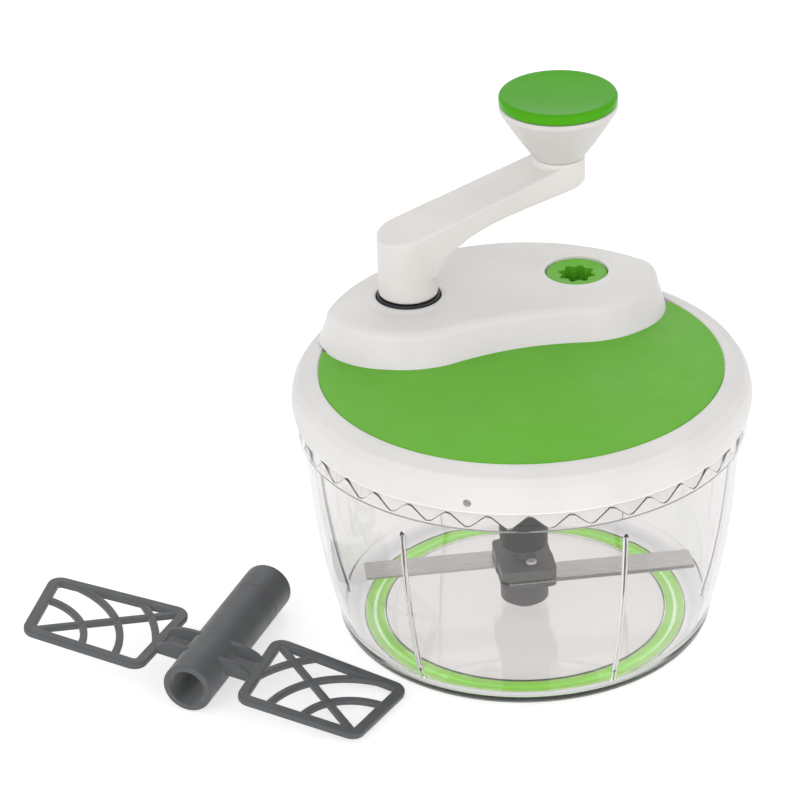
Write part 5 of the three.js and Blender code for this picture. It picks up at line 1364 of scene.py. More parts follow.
def lid_inside():
    """The lid's underside from the middle of the deck over the spigot to the skirt."""
    sizes, bowl = settings().lid, settings().bowl
    edge = sizes.edge
    _, crest, _, neck = lock_levels()
    outer = bowl.top_radius - bowl.wall - sizes.spigot_gap
    inner = outer - sizes.spigot_wall
    skirt, _ = skirt_radii()
    return open_outline([
        (0, sizes.deck_bottom, 0),
        (inner, sizes.deck_bottom, edge),
        (inner, sizes.plate_bottom, edge),
        (outer, sizes.plate_bottom, edge),
        (outer, neck + sizes.seat, edge / 2),
        (skirt, neck + sizes.seat, edge / 2),
        (skirt, crest, 0),
    ])


def lid_outside():
    """The ring's outside from the skirt over the lip and the crest to the middle of the deck."""
    sizes, bowl = settings().lid, settings().bowl
    edge = sizes.edge
    foot, belly_low, belly_high, shoulder, brow, top = lid_heights()
    _, skirt = skirt_radii()
    lip = bowl.top_radius + bowl.collar_step + bowl.collar_flare + sizes.foot_gap
    cover = cover_radius() + sizes.seat
    corners = [
        (skirt, lock_levels()[1] + sizes.run, 0),
        (skirt + bowl.collar_flare, foot, edge / 4),
        (lip, foot, 0),
        (lip, foot - sizes.foot_lip, 0),
        (LID_RADIUS - sizes.low_inset, foot - sizes.foot_lip, edge / 4),
        (LID_RADIUS, belly_low, BELLY_ROUND),
        (LID_RADIUS, belly_high, BELLY_ROUND),
        (LID_RADIUS - sizes.shoulder_inset, shoulder, SHOULDER_ROUND),
        (LID_RADIUS - sizes.brow_inset, brow, BELLY_ROUND),
        (LID_RADIUS - sizes.crest_inset, top, BELLY_ROUND),
        (cover, top - sizes.insert_edge_drop, edge),
        (cover, sizes.deck_top, edge / 2),
        (0, sizes.deck_top, 0),
    ]
    return rounded(corners, closed=False)


def lid_profile():
    """The profile of the deck, spigot, skirt and ring."""
    trough, crest, _, _ = lock_levels()
    run = settings().lid.run
    lock = (trough + run, crest + run)
    zigzag = [(radius, lock) for radius in skirt_radii()]
    return [*pairs(lid_inside()[:-1]), *zigzag, *pairs(lid_outside()[1:])]


def vent_tool():
    """A tool for the vent hole in the ring."""
    sizes = settings().lid
    low, high = LID_RADIUS - sizes.vent_depth, LID_RADIUS + OVERRUN
    vent = cylinder("vent", sizes.vent_radius, low, high)
    place(vent, Matrix.Rotation(QUARTER_TURN, 4, "Y"))
    place(vent, Matrix.Translation((0, 0, lid_heights()[0] + sizes.vent_rise)))
    return place(vent, Matrix.Rotation(sizes.vent_azimuth - QUARTER_TURN, 4, "Z"))


def build_lid_shell():
    """The white ring with its deck, spigot and zigzag skirt."""
    sizes = settings().lid
    steps = settings().bowl.teeth * LOCK_STEPS_PER_TOOTH
    shell = lathe("lid_ring", lid_profile(), steps, wave=lock_wave)
    low, high = sizes.deck_bottom - OVERRUN, sizes.deck_top + OVERRUN
    holes = (
        (sizes.fast_opening, FAST_PLACE),
        (sizes.compound_opening, COMPOUND_PLACE),
        (sizes.slow_opening, SLOW_PLACE),
    )
    tools = [cylinder("hole", radius, low, high, spot) for radius, spot in holes]
    combine(shell, [*tools, vent_tool()], "DIFFERENCE")
    finish_piece(shell, "lid", "white_plastic", material("ring"), "lid_shell")


def profile_height(profile, radius):
    """Height of a profile's points at a radius."""
    for near, far in zip(profile, profile[1:]):
        if near[0] <= radius <= far[0]:
            part = (radius - near[0]) / max(far[0] - near[0], LEAST_WIDTH)
            return near[1] + (far[1] - near[1]) * part
    return profile[-1][1]


def edge_point(inner, outer):
    """The first point on the way between two points that is not inside the cover's round edge."""
    part = 0.0
    while inner.lerp(outer, part).length < cover_radius() and part < 1:
        part += EDGE_SEARCH_SHARE
    return inner.lerp(outer, part)


def cover_front():
    """The edge of the green cover along the housing, from its left corner to its right one."""
    outline = housing_outline(-settings().lid.seat)
    low = [point for point in outline if point.length < cover_radius()]
    first = min(range(len(low)), key=lambda i: low[i].x)
    run = low[first:] + low[:first]
    last = max(range(len(run)), key=lambda i: run[i].x)
    front = run[: last + 1]
    before = outline[outline.index(front[0]) - 1]
    after = outline[(outline.index(front[-1]) + 1) % len(outline)]
    return [edge_point(front[0], before), *front, edge_point(front[-1], after)]


def cover_top():
    """The profile of the cover's top from the middle to the start of its rounded edge."""
    sizes = settings().lid
    edge_top = lid_heights()[5] - sizes.insert_edge_drop
    corners = [
        (0, edge_top + sizes.crease_rise + sizes.crown_rise, 0),
        (cover_radius() - sizes.crease_inset, edge_top + sizes.crease_rise, CREASE_ROUND),
        (cover_radius(), edge_top, 0),
    ]
    return pairs(rounded(corners, closed=False, steps=CREASE_STEPS))


def cover_turns(front):
    """For each point of the front edge, the turn of the point of the round edge that it is joined to."""
    middle = Vector((0, 0))
    start = heading(middle, front[0])
    start += FULL_TURN if start < 0 else 0
    end = heading(middle, front[-1]) + FULL_TURN
    lengths = [0.0]
    for near, far in zip(front, front[1:]):
        lengths.append(lengths[-1] + (far - near).length)
    return [start + (end - start) * length / lengths[-1] for length in lengths]


def cover_row(inner, turn, profile):
    """One row of the cover: up at its front edge, over its top and down its rounded edge."""
    sizes = settings().lid
    edge, radius = sizes.edge, cover_radius()
    bottom = sizes.deck_top + sizes.seat
    outer = polar(radius - edge, turn)
    rim = profile_height(profile, radius - edge)
    row = [(inner, bottom)]
    for i in range(COVER_STEPS + 1):
        spot = inner.lerp(outer, i / COVER_STEPS)
        row.append((spot, profile_height(profile, spot.length)))
    for i in range(1, COVER_EDGE_STEPS + 1):
        part = QUARTER_TURN * i / COVER_EDGE_STEPS
        spot = polar(radius - edge * (1 - math.sin(part)), turn)
        row.append((spot, rim - edge * (1 - math.cos(part))))
    row.append((polar(radius, turn), bottom))
    return [Vector((spot.x, spot.y, height)) for spot, height in row]


def build_insert():
    """The green cover in front of the housing, with its soft crease and rounded edge."""
    profile = cover_top()
    front = cover_front()
    rows = [cover_row(inner, turn, profile) for inner, turn in zip(front, cover_turns(front))]
    cover = skin("green_cover", rows)
    finish_piece(cover, "lid", "green_plastic", material("green"), "lid_insert")
    cover.visible_diffuse = False
    cover.visible_shadow = False


# Gear housing

LOBE_STEPS = 40
BEND_STEPS = 12
BACK_STEPS = 60
FILLET_STEPS = 8
INNER_FILLET_STEPS = 4
LIP_ROUND_SHARE = 0.8
STAR_STEPS_PER_LOBE = 12


def circles_meet(first, first_radius, second, second_radius, side):
    """Where two circles meet, on one side of the line between their centres."""
    between = second - first
    gap = between.length
    along = (first_radius**2 - second_radius**2 + gap**2) / (2 * gap)
    across = side * math.sqrt(first_radius**2 - along**2)
    unit = between.normalized()
    return first + unit * along + Vector((-unit.y, unit.x)) * across


def heading(start, end):
    """The angle of the way from one point to another."""
    return math.atan2(end.y - start.y, end.x - start.x)


def housing_outline(inset, back_inset=None):
    """The housing's plan: two lobes round the sockets, a waist at the front, the ring's edge at the
    back and two rounded corners, moved inwards."""
    sizes = settings().housing
    if back_inset is None:
        back_inset = inset
    middle = Vector((0, 0))
    fast, slow = FAST_PLACE.xy, SLOW_PLACE.xy
    back_edge = LID_RADIUS - sizes.back_inset
    fast_radius = back_edge - fast.length + sizes.fast_past
    slow_radius = back_edge - slow.length + sizes.slow_past
    corner_radius = sizes.corner - inset
    back_radius = back_edge - back_inset
    waist = circles_meet(fast, fast_radius + sizes.waist, slow, slow_radius + sizes.waist, -1)

    def corner(spot, radius, side):
        return circles_meet(
            spot, radius - inset - corner_radius, middle, back_radius - corner_radius, side
        )

    slow_corner = corner(slow, slow_radius, 1)
    fast_corner = corner(fast, fast_radius, -1)

    def up(turn, floor):
        return turn + FULL_TURN if turn < floor else turn

    fast_start = up(heading(fast, fast_corner), 0)
    fast_end = up(heading(fast, waist), fast_start)
    slow_start, slow_end = heading(slow, waist), heading(slow, slow_corner)
    back_start = heading(middle, slow_corner)
    back_end = up(heading(middle, fast_corner), back_start)
    return [
        *arc(fast, fast_radius - inset, fast_start, fast_end, LOBE_STEPS)[1:],
        *arc(waist, sizes.waist + inset, heading(waist, fast), heading(waist, slow), BEND_STEPS)[1:],
        *arc(slow, slow_radius - inset, slow_start, slow_end, LOBE_STEPS)[1:],
        *arc(slow_corner, corner_radius, slow_end, back_start, BEND_STEPS)[1:],
        *arc(middle, back_radius, back_start, back_end, BACK_STEPS)[1:],
        *arc(fast_corner, corner_radius, back_end, fast_start, BEND_STEPS)[1:],
    ]


def housing_rings(inset, bottom, top, steps):
    """The wall and fillet of the housing from its foot to the edge of its flat top."""
    sizes = settings().housing
    rings = [at_height(housing_outline(inset), bottom)]
    for i in range(steps + 1):
        turn = QUARTER_TURN * i / steps
        drawn = inset + sizes.fillet * (1 - math.cos(turn))
        height = top - sizes.fillet + sizes.fillet * math.sin(turn)
        outline = housing_outline(drawn + sizes.edge_inset, drawn + sizes.back_lean)
        rings.append(at_height(outline, height))
    return rings


def housing_shell():
    """The hollow cover as one skin from its ceiling down inside and up its outside."""
    sizes, lid = settings().housing, settings().lid
    crest = lid_heights()[5]
    bottom = lid.deck_top + lid.seat
    over_ring = crest + lid.seat
    ledge = over_ring + sizes.wall
    pocket_back = LID_RADIUS - sizes.back_inset - (cover_radius() - lid.seat)

    def pocket(inset, height):
        return at_height(housing_outline(inset, pocket_back + inset), height)

    inside = housing_rings(sizes.wall, ledge, HOUSING_TOP - sizes.wall, INNER_FILLET_STEPS)
    outside = housing_rings(0, over_ring, HOUSING_TOP, FILLET_STEPS)
    return skin("gear_cover", [
        *reversed(inside),
        pocket(sizes.wall, ledge),
        pocket(sizes.wall, bottom),
        pocket(0, bottom),
        pocket(0, over_ring),
        *outside,
    ])


def lip(radius, centre):
    """A raised lip round a socket that runs out softly on the housing's top."""
    sizes, lid = settings().housing, settings().lid
    inner = radius + lid.run
    outer = inner + sizes.lip
    foot = HOUSING_TOP - sizes.wall
    top = HOUSING_TOP + sizes.lip_rise
    profile = rounded([
        (inner, foot, 0),
        (outer + sizes.lip_skirt, foot, 0),
        (outer + sizes.lip_skirt, HOUSING_TOP - lid.seat / 2, 0),
        (outer, top, sizes.lip_skirt * LIP_ROUND_SHARE),
        (inner, top, sizes.edge),
    ])
    return lathe("lip", pairs(profile), ROUND_STEPS, centre)


def build_housing():
    """The white cover over the gears, with a lip round each socket."""
    sizes = settings().housing
    gap = settings().lid.run
    cover = housing_shell()
    sockets = ((sizes.fast_socket, FAST_PLACE), (sizes.slow_socket, SLOW_PLACE))
    combine(cover, [lip(radius, spot) for radius, spot in sockets], "UNION")
    low, high = HOUSING_TOP - sizes.wall - OVERRUN, HOUSING_TOP + OVERRUN
    holes = [cylinder("hole", radius + gap, low, high, spot, ROUND_STEPS) for radius, spot in sockets]
    combine(cover, holes, "DIFFERENCE")
    finish_piece(cover, "lid", "white_plastic", material("white"), "gear_housing")


def star_outline(centre):
    """The lobed outline of a drive hole."""
    sizes = settings().housing
    steps = sizes.star_lobes * STAR_STEPS_PER_LOBE
    points = []
    for i in range(steps):
        turn = FULL_TURN * i / steps
        radius = sizes.star_radius + sizes.star_lobe * math.cos(sizes.star_lobes * turn)
        points.append(polar(radius, turn + ARM_AZIMUTH, centre))
    return points


def socket(name, radius, bottom, centre, dish, rise=0):
    """A drive socket: disc, tube, axle bore and star hole."""
    sizes = settings().housing
    under = HOUSING_TOP - sizes.disc
    top = HOUSING_TOP + rise
    profile = open_outline([
        (0, sizes.axle_top, 0),
        (sizes.axle, sizes.axle_top, 0),
        (sizes.axle, bottom, 0),
        (sizes.tube, bottom, 0),
        (sizes.tube, under, 0),
        (radius, under, sizes.edge),
        (radius, top, sizes.edge),
        (radius - dish * 2, top, sizes.edge),
        (sizes.star_radius + sizes.star_lobe, top - dish, sizes.edge),
        (0, top - dish, 0),
    ])
    body = lathe(name, pairs(profile), ROUND_STEPS, centre)
    star = prism("star", star_outline(centre), sizes.floor, HOUSING_TOP + OVERRUN)
    combine(body, [star], "DIFFERENCE")
    return soften(body, sizes.edge / 2, FINE_EDGE_STEPS)


def build_sockets():
    """The dark socket under the crank and the green one."""
    sizes = settings().housing
    rise = sizes.fast_rise - sizes.fast_gap
    spot = FAST_PLACE.xy
    fast = socket("dark_socket", sizes.fast_socket, sizes.fast_bottom, spot, sizes.fast_dish, rise)
    finish_piece(fast, "fast_drive", "dark_plastic", material("dark_ring"), "fast_socket")
    spot = SLOW_PLACE.xy
    slow = socket("green_socket", sizes.slow_socket, sizes.slow_bottom, spot, sizes.slow_dish)
    finish_piece(slow, "slow_drive", "green_plastic", material("green"), "slow_socket")


# Crank and knob

ARM_END_STEPS = 48
COLUMN_STEPS = 128
SMOOTHING_SHARE = 0.5
CAP_EDGE_REACH_SHARE = 1.3


def on_arm(made):
    """Puts a piece that was built along X on the crank's axis at the arm's azimuth."""
    turn = Matrix.Rotation(ARM_AZIMUTH, 4, "Z")
    return place(made, Matrix.Translation((FAST_PLACE.x, FAST_PLACE.y, 0)) @ turn)


def along_arm(at_column, at_knob, along):
    """A height that changes evenly along the arm."""
    return at_column + (at_knob - at_column) * along / ARM_LENGTH


def arm_top(along):
    """Height of the arm's top."""
    sizes = settings().crank
    return along_arm(sizes.top_at_column, sizes.top_at_knob, along)


def arm_under(along):
    """Height of the arm's underside."""
    sizes = settings().crank
    return arm_top(along) - along_arm(sizes.thick_at_column, sizes.thick_at_knob, along)


def arm_plan():
    """The arm from above: a wedge between two round ends."""
    sizes = settings().crank
    lean = QUARTER_TURN - math.asin((sizes.column - sizes.end_radius) / ARM_LENGTH)
    return [
        *arc((0, 0), sizes.column, lean, FULL_TURN - lean, ARM_END_STEPS),
        *arc((ARM_LENGTH, 0), sizes.end_radius, -lean, lean, ARM_END_STEPS),
    ]


def arm_side():
    """The arm from the side, as an outline of along and height."""
    sizes = settings().crank
    start = -sizes.column - OVERRUN
    end = ARM_LENGTH + sizes.end_radius + OVERRUN
    haunch_end = sizes.column + sizes.haunch_reach
    flat_end = end - sizes.end_blend
    haunch = bend(
        (sizes.column * sizes.haunch_start, sizes.haunch_foot),
        (sizes.column, arm_under(sizes.column)),
        (haunch_end, arm_under(haunch_end)),
    )
    return [
        Vector((start, arm_top(start))),
        Vector((start, sizes.haunch_foot)),
        *haunch,
        Vector((flat_end, arm_under(flat_end))),
        Vector((end, arm_under(flat_end) + OVERRUN)),
        Vector((end, arm_top(ARM_LENGTH))),
        Vector((ARM_LENGTH, arm_top(ARM_LENGTH))),
    ]


def solid_crank():
    """The column and the arm with sharp edges: the arm's side and plan in common, with column and pad."""
    sizes = settings().crank
    width = sizes.column + OVERRUN
    arm = skin("crank_column_arm", [
        [Vector((point.x, side, point.y)) for point in arm_side()] for side in (width, -width)
    ])
    plan = prism("plan", arm_plan(), sizes.bottom, sizes.pad_top + OVERRUN)
    combine(arm, [plan], "INTERSECT")
    column = cylinder("column", sizes.column, sizes.bottom, arm_under(0), steps=COLUMN_STEPS)
    low = arm_top(ARM_LENGTH) - sizes.thick_at_knob / 2
    radius = sizes.end_radius - sizes.seat
    pad = cylinder("pad", radius, low, sizes.pad_top, (ARM_LENGTH, 0), ROUND_STEPS)
    return combine(arm, [column, pad], "UNION")


def build_crank():
    """The white column and arm, with moulded round edges."""
    sizes = settings().crank
    arm = blend_edges(solid_crank())
    low = sizes.bottom
    tools = [
        cylinder("seat", sizes.plug_seat, low - OVERRUN, low + sizes.plug_seat_depth),
        cylinder("screw", sizes.screw, low, sizes.screw_top),
        cylinder("pin", sizes.pin, sizes.pin_bottom, sizes.pad_top + OVERRUN, (ARM_LENGTH, 0)),
    ]
    combine(arm, tools, "DIFFERENCE")
    finish_piece(on_arm(arm), "crank", "white_plastic", material("warm"), "crank_arm")


def blend_edges(made):
    """Remeshes a solid finely and smooths it, so that all its edges and inner corners turn round."""
    sizes = settings().crank
    remesh = made.modifiers.new("grain", "REMESH")
    remesh.mode = "VOXEL"
    remesh.voxel_size = sizes.softness
    smooth = made.modifiers.new("round", "SMOOTH")
    smooth.factor = SMOOTHING_SHARE
    smooth.iterations = sizes.smoothing
    return take_mesh(made)


def knob_profile():
    """The knob's hollow cone."""
    sizes = settings().crank
    bottom = sizes.pad_top + sizes.seat
    middle = bottom + (sizes.rim_bottom - bottom) / 2
    pull = sizes.neck + (sizes.rim - sizes.neck) * sizes.flare
    outside = bend((sizes.neck, bottom), (pull, middle), (sizes.rim, sizes.rim_bottom))
    hollow = bottom + 2 * sizes.knob_wall
    corners = [
        (sizes.pin, bottom, 0),
        (sizes.neck, bottom, sizes.edge),
        *plain(outside[2:-1]),
        (sizes.rim, sizes.rim_bottom, sizes.edge * 2),
        (sizes.rim, sizes.rim_top, sizes.edge),
        (sizes.rim - sizes.knob_wall, sizes.rim_top, 0),
        (sizes.rim - sizes.knob_wall, sizes.rim_bottom, 0),
        (pull, middle + 2 * sizes.knob_wall, 0),
        (sizes.hub + sizes.knob_wall, hollow, 0),
        (sizes.hub, hollow, 0),
        (sizes.hub, sizes.hub_top, 0),
        (sizes.pin, sizes.hub_top, 0),
    ]
    return pairs(rounded(corners))


def cap_profile():
    """The green cap: a plug in the rim, a thin round edge and a shallow saucer."""
    sizes = settings().crank
    bottom = sizes.rim_top + sizes.seat
    top = bottom + sizes.cap_thickness
    plug = sizes.rim - sizes.knob_wall - sizes.seat
    saucer = bend(
        (sizes.cap - sizes.cap_edge * CAP_EDGE_REACH_SHARE, top),
        (sizes.cap * sizes.cap_bend, top - sizes.cap_dish),
        (0, top - sizes.cap_dish),
    )
    corners = [
        (0, bottom - sizes.cap_plug, 0),
        (plug, bottom - sizes.cap_plug, 0),
        (plug, bottom, 0),
        (sizes.cap - sizes.edge, bottom, sizes.edge / 2),
        (sizes.cap, bottom + sizes.edge, sizes.edge / 2),
        (sizes.cap, top, sizes.cap_edge),
        *plain(saucer),
    ]
    return pairs(rounded(corners, closed=False))


def build_knob():
    """The white cone and its green cap."""
    spot = KNOB_PLACE.xy
    body = lathe("knob_cone", knob_profile(), centre=spot)
    finish_piece(body, "knob", "white_plastic", material("knob"), "knob_body")
    cap = lathe("knob_green_cap", cap_profile(), centre=spot)
    finish_piece(cap, "knob", "green_plastic", material("cap"), "knob_cap")


# Paddle

LATTICE_SHARES = (0.35, 0.55, 0.75)
LATTICE_TURN_SHARES = (0.7, 2.2)
LATTICE_HEIGHT_SHARE = 0.86
LATTICE_STEPS = 160
DIAGONAL_STEPS = 24
FRAME_CORNER_STEPS = 8
FIN_STEPS = 12
COUPLER_ROUND_SHARE = 1.5


def on_paddle(made):
    """Puts a piece that was built in the paddle's own frame where the paddle lies."""
    sizes = settings().paddle
    turn = Matrix.Rotation(sizes.heading, 4, "Z") @ Matrix.Rotation(sizes.tilt, 4, "Y")
    made.visible_glossy = False
    return place(made, Matrix.Translation(sizes.place) @ turn)


def lay_along_tube(made):
    """Turns a solid of revolution from Z to the tube's Y axis."""
    return place(made, Matrix.Rotation(-QUARTER_TURN, 4, "X"))


def frame_corners(inset):
    """The four corners of a frame, moved inwards, with their rounding."""
    sizes = settings().paddle
    corners = [
        Vector(corner)
        for corner in (sizes.inner_foot, sizes.outer_foot, sizes.outer_head, sizes.inner_head)
    ]
    moved = []
    for i, corner in enumerate(corners):
        back = (corners[i - 1] - corner).normalized()
        ahead = (corners[(i + 1) % 4] - corner).normalized()
        half = back.angle(ahead) / 2
        point = corner + (back + ahead).normalized() * inset / math.sin(half)
        moved.append((point.x, point.y, sizes.corner - inset))
    return moved


def lattice_paths():
    """The diagonal and the three arcs of a frame, each cut off inside the outer bar."""
    sizes = settings().paddle
    inset = sizes.bar / 2
    loop = [Vector(corner[:2]) for corner in frame_corners(inset)]
    foot, head = loop[1], loop[3]
    outer = Vector(sizes.outer_foot)
    length = (Vector(sizes.inner_head) - outer).length

    def inside(point):
        for i, corner in enumerate(loop):
            side = loop[(i + 1) % 4] - corner
            if side.x * (point.y - corner.y) - side.y * (point.x - corner.x) < 0:
                return False
        return True

    start, end = (QUARTER_TURN * share for share in LATTICE_TURN_SHARES)
    paths = [[foot.lerp(head, i / DIAGONAL_STEPS) for i in range(DIAGONAL_STEPS + 1)]]
    for part in LATTICE_SHARES:
        points = arc(outer, length * part, start, end, LATTICE_STEPS)
        paths.append([point for point in points if inside(point)])
    return paths


def build_frames():
    """The two open frames of rounded bars."""
    sizes = settings().paddle
    height = sizes.thickness
    for name, side in (("paddle_frame_right", 1), ("paddle_frame_left", -1)):
        rim_path = rounded(frame_corners(sizes.bar / 2), steps=FRAME_CORNER_STEPS)
        bars = [sweep("rim", rim_path, sizes.bar, height, sizes.edge, closed=True)]
        for path in lattice_paths():
            bars.append(sweep("bar", path, sizes.lattice, height * LATTICE_HEIGHT_SHARE, sizes.edge))
        made = place(gather(f"whisk_{name}", bars), Matrix.Translation((0, 0, sizes.rise)))
        if side < 0:
            mirrored(made)
        finish_piece(on_paddle(made), "paddle", "paddle_plastic", material("paddle"), name)


def gusset(side):
    """The web and the two curved fins between the tube and one frame."""
    sizes = settings().paddle
    root, reach, rise = sizes.bore + sizes.seat, sizes.web_reach, sizes.rise
    plan = rounded(rectangle(root, reach, sizes.web_low, sizes.web_high))
    web = prism("web", plan, rise - sizes.web / 2, rise + sizes.web / 2)
    soften(web, sizes.edge / 2, FINE_EDGE_STEPS)
    curve = bend(
        (reach - sizes.fin / 2, rise + sizes.thickness / 2),
        (reach - sizes.fin, rise + sizes.fin_rise),
        (sizes.tube - 2 * sizes.fin, rise + sizes.fin_rise),
        FIN_STEPS,
    )
    outline = [Vector((root, rise)), Vector((reach - sizes.fin / 2, rise)), *curve]
    fins = []
    for spot in (sizes.web_low + sizes.fin / 2, sizes.web_high - sizes.fin / 2):
        rings = [
            [Vector((point.x, spot + half, point.y)) for point in outline]
            for half in (sizes.fin / 2, -sizes.fin / 2)
        ]
        fins.append(soften(skin("fin", rings), sizes.edge / 2, FINE_EDGE_STEPS))
    made = gather("gusset", [web, *fins])
    return mirrored(made) if side < 0 else made


def paddle_turning(name, corners):
    """A solid of revolution along the paddle's tube, from an open outline of radius and place."""
    return lathe(name, pairs(rounded(corners, closed=False)), ROUND_STEPS)


def build_paddle_tube():
    """The paddle's tube with its webs and fins."""
    sizes = settings().paddle
    edge = sizes.edge
    tube = paddle_turning("tube", [
        (0, sizes.bore_depth, 0),
        (sizes.bore, sizes.bore_depth, 0),
        (sizes.bore, 0, edge / 2),
        (sizes.tube, 0, edge),
        (sizes.tube, sizes.length, edge / 3),
        (0, sizes.length, 0),
    ])
    whole = gather("whisk_tube", [lay_along_tube(tube), gusset(1), gusset(-1)])
    finish_piece(on_paddle(whole), "paddle", "paddle_plastic", material("paddle"), "paddle_tube")


def build_coupler():
    """The coupler in the end of the paddle's tube, with its hexagon socket."""
    sizes = settings().paddle
    edge = sizes.edge
    start = sizes.length + sizes.seat
    end = start + sizes.coupler
    coupler = paddle_turning("whisk_coupler", [
        (0, start, 0),
        (sizes.tube, start, edge / 3),
        (sizes.tube, end, edge * COUPLER_ROUND_SHARE),
        (0, end, 0),
    ])
    combine(coupler, [hexagon_tool(sizes, end)], "DIFFERENCE")
    made = on_paddle(lay_along_tube(coupler))
    finish_piece(made, "paddle", "paddle_plastic", material("paddle"), "paddle_coupler")


# Inner works, which keep the frame's own meshes

INNER_NODES = {
    "white": ("lid_base_plate",),
    "natural": ("output_bush", "fast_gear", "slow_gear", "compound_gear", "output_pinion"),
    "hub": ("crank_spline",),
    "steel": (
        "bowl_spindle",
        *(f"base_plate_screw_{i}" for i in range(1, 5)),
        *(f"housing_screw_{i}" for i in range(1, 4)),
        "fast_axle",
        "slow_axle",
        "compound_axle",
        "spline_screw",
        "knob_pin",
    ),
}


def build_inner_works():
    """Materials and rounded edges for the gears, axles, screws and plate inside."""
    width = settings().lid.edge / 4
    for name, nodes in INNER_NODES.items():
        for node in nodes:
            made = frame["nodes"][node]
            made.data.materials.clear()
            made.data.materials.append(material(name))
            round_edges(made, width, FINE_EDGE_STEPS)


# Stage

FLOOR_SCALE = 3.0
FLOOR_SHARE = 0.995
FLOOR_SHEEN_SCALE = 8.0
FLOOR_ROUGHNESS = (0.75, 0.9)
SKY_RISE_SHARES = (0, 0.06, 0.16, 0.6, 0.85)
SENSOR_WIDTH = 36
CLIP_NEAR = 10 * MM
CLIP_FAR = 20000 * MM


def build_floor():
    """A pale round floor that glows a little, as a light table does."""
    sizes = settings().stage
    rim = at_height(circle(sizes.floor, ROUND_STEPS), -sizes.floor_gap)
    made = new_object("floor", [tuple(point) for point in rim], [tuple(range(ROUND_STEPS))])
    pale, tree, shader, coordinates = new_material("pale_floor")
    tone = tuple(sizes.floor_colour)
    tinted(tree, shader, noise(tree, coordinates, FLOOR_SCALE), scaled(tone, FLOOR_SHARE), tone)
    roughened(tree, shader, noise(tree, coordinates, FLOOR_SHEEN_SCALE), *FLOOR_ROUGHNESS)
    shader.inputs["Specular IOR Level"].default_value = 0.0
    shader.inputs["Emission Color"].default_value = (1, 1, 1, 1)
    shader.inputs["Emission Strength"].default_value = sizes.glow
    made.data.materials.append(pale)


def build_sky():
    """A soft sky: even above, brighter at the sides and dim at the horizon."""
    sizes = settings().stage
    world = bpy.data.worlds.new("studio")
    bpy.context.scene.world = world
    world.use_nodes = True
    tree = world.node_tree
    background = next(node for node in tree.nodes if node.type == "BACKGROUND")
    coordinates = tree.nodes.new("ShaderNodeTexCoord")
    parts = tree.nodes.new("ShaderNodeSeparateXYZ")
    tree.links.new(coordinates.outputs["Generated"], parts.inputs["Vector"])
    ramp = tree.nodes.new("ShaderNodeValToRGB")
    strengths = (sizes.horizon, sizes.horizon, sizes.side, sizes.side, sizes.sky)
    elements = ramp.color_ramp.elements
    while len(elements) < len(strengths):
        elements.new(1)
    for element, rise, strength in zip(elements, SKY_RISE_SHARES, strengths):
        element.position = rise
        element.color = (strength, strength, strength, 1)
    tree.links.new(parts.outputs["Z"], ramp.inputs["Fac"])
    tree.links.new(ramp.outputs["Color"], background.inputs["Color"])
    background.inputs["Strength"].default_value = 1.0


def area_light(name, spot, power, width):
    """A large soft light that points at the object."""
    lamp = bpy.data.lights.new(name, "AREA")
    lamp.energy = power
    lamp.size = width
    made = bpy.data.objects.new(name, lamp)
    made.location = spot
    made.rotation_mode = "QUATERNION"
    ahead = Vector(settings().stage.target) - Vector(spot)
    made.rotation_quaternion = ahead.to_track_quat("-Z", "Y")
    bpy.context.scene.collection.objects.link(made)


def build_camera():
    """The camera at the photograph's viewing angle."""
    sizes = settings().stage
    level = math.cos(sizes.pitch)
    ahead = Vector((math.sin(sizes.yaw) * level, math.cos(sizes.yaw) * level, -math.sin(sizes.pitch)))
    right = Vector((math.cos(sizes.yaw), -math.sin(sizes.yaw), 0))
    up = right.cross(ahead)
    rolled_right = right * math.cos(sizes.roll) + up * math.sin(sizes.roll)
    rolled_up = up * math.cos(sizes.roll) - right * math.sin(sizes.roll)
    lens = bpy.data.cameras.new("camera")
    lens.lens = sizes.lens
    lens.sensor_width = SENSOR_WIDTH
    lens.clip_start = CLIP_NEAR
    lens.clip_end = CLIP_FAR
    made = bpy.data.objects.new("camera", lens)
    columns = Matrix((rolled_right, rolled_up, -ahead)).transposed()
    made.matrix_world = Matrix.Translation(sizes.camera) @ columns.to_4x4()
    bpy.context.scene.collection.objects.link(made)
    bpy.context.scene.camera = made


def build_stage():
    """Floor, sky, lights, camera and the plain view transform."""
    sizes = settings().stage
    build_floor()
    build_sky()
    area_light("key", sizes.key_place, sizes.key, sizes.front_width)
    area_light("fill", sizes.fill_place, sizes.fill, sizes.front_width)
    area_light("back", sizes.back_place, sizes.back, sizes.back_width)
    build_camera()
    bpy.context.scene.view_settings.view_transform = "Standard"
    bpy.context.scene.view_settings.look = "None"


# Operators, panel and registration


class CHOPPER_OT_bowl(bpy.types.Operator):
    """Build the clear bowl"""

    bl_idname = "chopper.bowl"
    bl_label = "Bowl"
    bl_options = {"REGISTER", "UNDO"}

    def execute(self, context):
        build_bowl()
        return {"FINISHED"}


class CHOPPER_OT_foot(bpy.types.Operator):
    """Build the two green bands under the bowl"""

    bl_idname = "chopper.foot"
    bl_label = "Foot bands"
    bl_options = {"REGISTER", "UNDO"}

    def execute(self, context):
        build_foot()
        return {"FINISHED"}


class CHOPPER_OT_cutter(bpy.types.Operator):
    """Build the hub, its clamp, the blades, their screws and the drive tube"""

    bl_idname = "chopper.cutter"
    bl_label = "Cutter"
    bl_options = {"REGISTER", "UNDO"}

    def execute(self, context):
        build_hub()
        build_clamp()
        build_blades()
        build_screws()
        build_tube()
        return {"FINISHED"}


